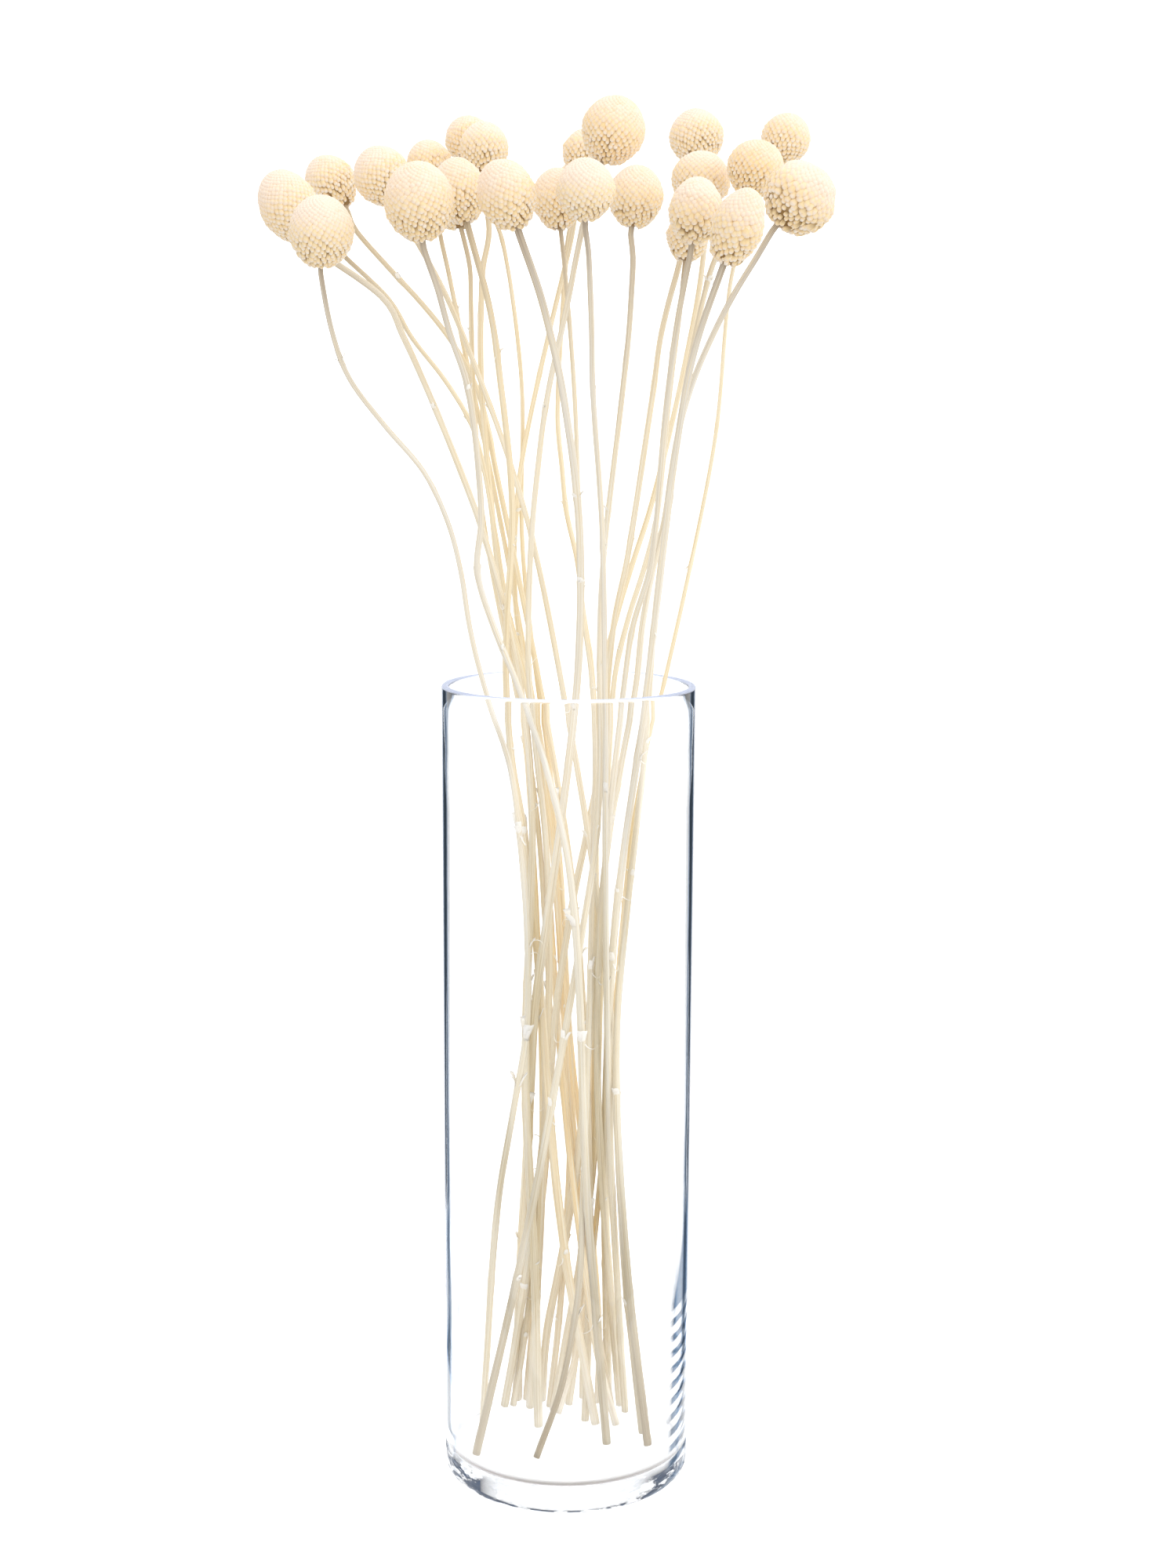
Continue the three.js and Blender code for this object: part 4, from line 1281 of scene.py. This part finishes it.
def dark_screens(tree, right, away, up, settings):
    """White, with a dark screen on each side of four clear views of the glass."""
    turn = arithmetic(tree, "ARCTAN2", right, away)
    fold = arithmetic(tree, "PINGPONG", turn, SCREEN_REPEAT)
    tall = product(tree, ramp(tree, up, *SCREEN_TOP), ramp(tree, up, *SCREEN_FOOT))
    moved = product(tree, ramp(tree, up, *SHIFTED_FOOT), settings.base_shift)
    fold = arithmetic(tree, "SUBTRACT", fold, moved)
    studio = WHITE
    for outset, colour in ((0, settings.fringe_colour), (FRINGE_WIDTH, settings.dark_colour)):
        start = settings.screen_start + outset
        end = settings.screen_end - outset
        screen = product(tree, ramp(tree, fold, start, start + SCREEN_BLUR),
                         ramp(tree, fold, end, end - SCREEN_BLUR), tall)
        studio = blend_colours(tree, screen, studio, colour)
    return studio


def soft_light(tree, right, up, settings):
    """Light from all round that is brightest from the right and dim from the left and below."""
    soft = blend_colours(tree, ramp(tree, right, -1, 1), settings.left_light,
                         settings.right_light)
    soft = blend_colours(tree, ramp(tree, up, *OVERHEAD), soft, settings.high_light)
    return blend_colours(tree, ramp(tree, up, *FROM_BELOW), soft, settings.low_light)


def build_sky(settings):
    """White all round for the camera and soft light for the dull pieces. The glass meets tall dark
    screens between bright panels, which draw its edges from every side."""
    world = bpy.data.worlds.new("studio")
    world.use_nodes = True
    bpy.context.scene.world = world
    tree = world.node_tree
    right, away, up = separated(tree, tree.nodes.new("ShaderNodeTexCoord").outputs["Generated"])
    paths = tree.nodes.new("ShaderNodeLightPath")
    lit = blend_colours(tree, paths.outputs["Is Diffuse Ray"],
                        dark_screens(tree, right, away, up, settings),
                        soft_light(tree, right, up, settings))
    seen = blend_colours(tree, paths.outputs["Is Camera Ray"], lit, WHITE)
    background = tree.nodes["Background"]
    tree.links.new(seen, background.inputs["Color"])
    background.inputs["Strength"].default_value = settings.sky_strength


def build_key(settings):
    """A large soft box above the heads, a little to the right and in front."""
    lamp = bpy.data.lights.new("soft_box", "AREA")
    lamp.shape = "SQUARE"
    lamp.size = SOFT_BOX_SIDE
    lamp.energy = settings.key_power
    box = bpy.data.objects.new("soft_box", lamp)
    place = Vector(SOFT_BOX_PLACE)
    box.location = place
    box.rotation_euler = (Vector(SOFT_BOX_AIM) - place).to_track_quat("-Z", "Y").to_euler()
    box.visible_camera = False
    bpy.context.scene.collection.objects.link(box)


def build_camera(settings):
    """The camera, in front of the vase and a little above the rim, looking down at it."""
    lens = bpy.data.cameras.new("camera")
    lens.lens = settings.lens
    lens.sensor_width = SENSOR_WIDTH
    camera = bpy.data.objects.new("camera", lens)
    tilt = Matrix.Rotation(math.pi / 2 - settings.camera_pitch, 4, "X")
    roll = Matrix.Rotation(settings.camera_roll, 4, "Z")
    camera.matrix_world = Matrix.Translation(settings.camera_place) @ tilt @ roll
    bpy.context.scene.collection.objects.link(camera)
    bpy.context.scene.camera = camera


# ---------------------------------------------------------------- add-on


class BOUQUET_OT_heads(bpy.types.Operator):
    """Model every flower head as a core packed with florets"""

    bl_idname = "bouquet.heads"
    bl_label = "Flower heads"

    def execute(self, context):
        settings = context.scene.bouquet_heads
        material = floret_material(settings)
        florets = closed_floret(), open_floret()
        for number in NUMBERS:
            build_head(number, florets, material, settings)
        for floret in florets:
            bpy.data.meshes.remove(floret)
        return {"FINISHED"}


class BOUQUET_OT_stems(bpy.types.Operator):
    """Model every stem along its path, with scars and torn leaf bases"""

    bl_idname = "bouquet.stems"
    bl_label = "Stems"

    def execute(self, context):
        settings = context.scene.bouquet_stems
        material = stem_material(settings)
        for number in NUMBERS:
            build_stem(number, material, settings)
        return {"FINISHED"}


class BOUQUET_OT_vase(bpy.types.Operator):
    """Spin the glass vase from its half section"""

    bl_idname = "bouquet.vase"
    bl_label = "Glass vase"

    def execute(self, context):
        build_vase(context.scene.bouquet_vase)
        return {"FINISHED"}


class BOUQUET_OT_stage(bpy.types.Operator):
    """Set the pale floor, the soft light and the camera"""

    bl_idname = "bouquet.stage"
    bl_label = "Stage"

    def execute(self, context):
        settings = context.scene.bouquet_stage
        build_floor(settings)
        build_sky(settings)
        build_key(settings)
        build_camera(settings)
        context.scene.view_settings.view_transform = "Standard"
        return {"FINISHED"}


class BOUQUET_PT_panel(bpy.types.Panel):
    """Sizes, colours and steps of the bouquet"""

    bl_label = "Billy buttons bouquet"
    bl_idname = "BOUQUET_PT_panel"
    bl_space_type = "VIEW_3D"
    bl_region_type = "UI"
    bl_category = "Bouquet"

    def draw(self, context):
        layout = self.layout
        for settings, operator in ((context.scene.bouquet_heads, BOUQUET_OT_heads),
                                   (context.scene.bouquet_stems, BOUQUET_OT_stems),
                                   (context.scene.bouquet_vase, BOUQUET_OT_vase),
                                   (context.scene.bouquet_stage, BOUQUET_OT_stage)):
            box = layout.box()
            for name in settings.__annotations__:
                box.prop(settings, name)
            box.operator(operator.bl_idname)


SETTINGS = {
    "bouquet_heads": HeadSettings,
    "bouquet_stems": StemSettings,
    "bouquet_vase": VaseSettings,
    "bouquet_stage": StageSettings,
}
OPERATORS = (BOUQUET_OT_heads, BOUQUET_OT_stems, BOUQUET_OT_vase, BOUQUET_OT_stage)


def register():
    for name, group in SETTINGS.items():
        bpy.utils.register_class(group)
        setattr(bpy.types.Scene, name, bpy.props.PointerProperty(type=group))
    for operator in (*OPERATORS, BOUQUET_PT_panel):
        bpy.utils.register_class(operator)


def unregister():
    for operator in (BOUQUET_PT_panel, *reversed(OPERATORS)):
        bpy.utils.unregister_class(operator)
    for name, group in SETTINGS.items():
        delattr(bpy.types.Scene, name)
        bpy.utils.unregister_class(group)


def main():
    register()
    bpy.ops.bouquet.stage()
    bpy.ops.bouquet.vase()
    bpy.ops.bouquet.stems()
    bpy.ops.bouquet.heads()


if __name__ == "__main__":
    main()
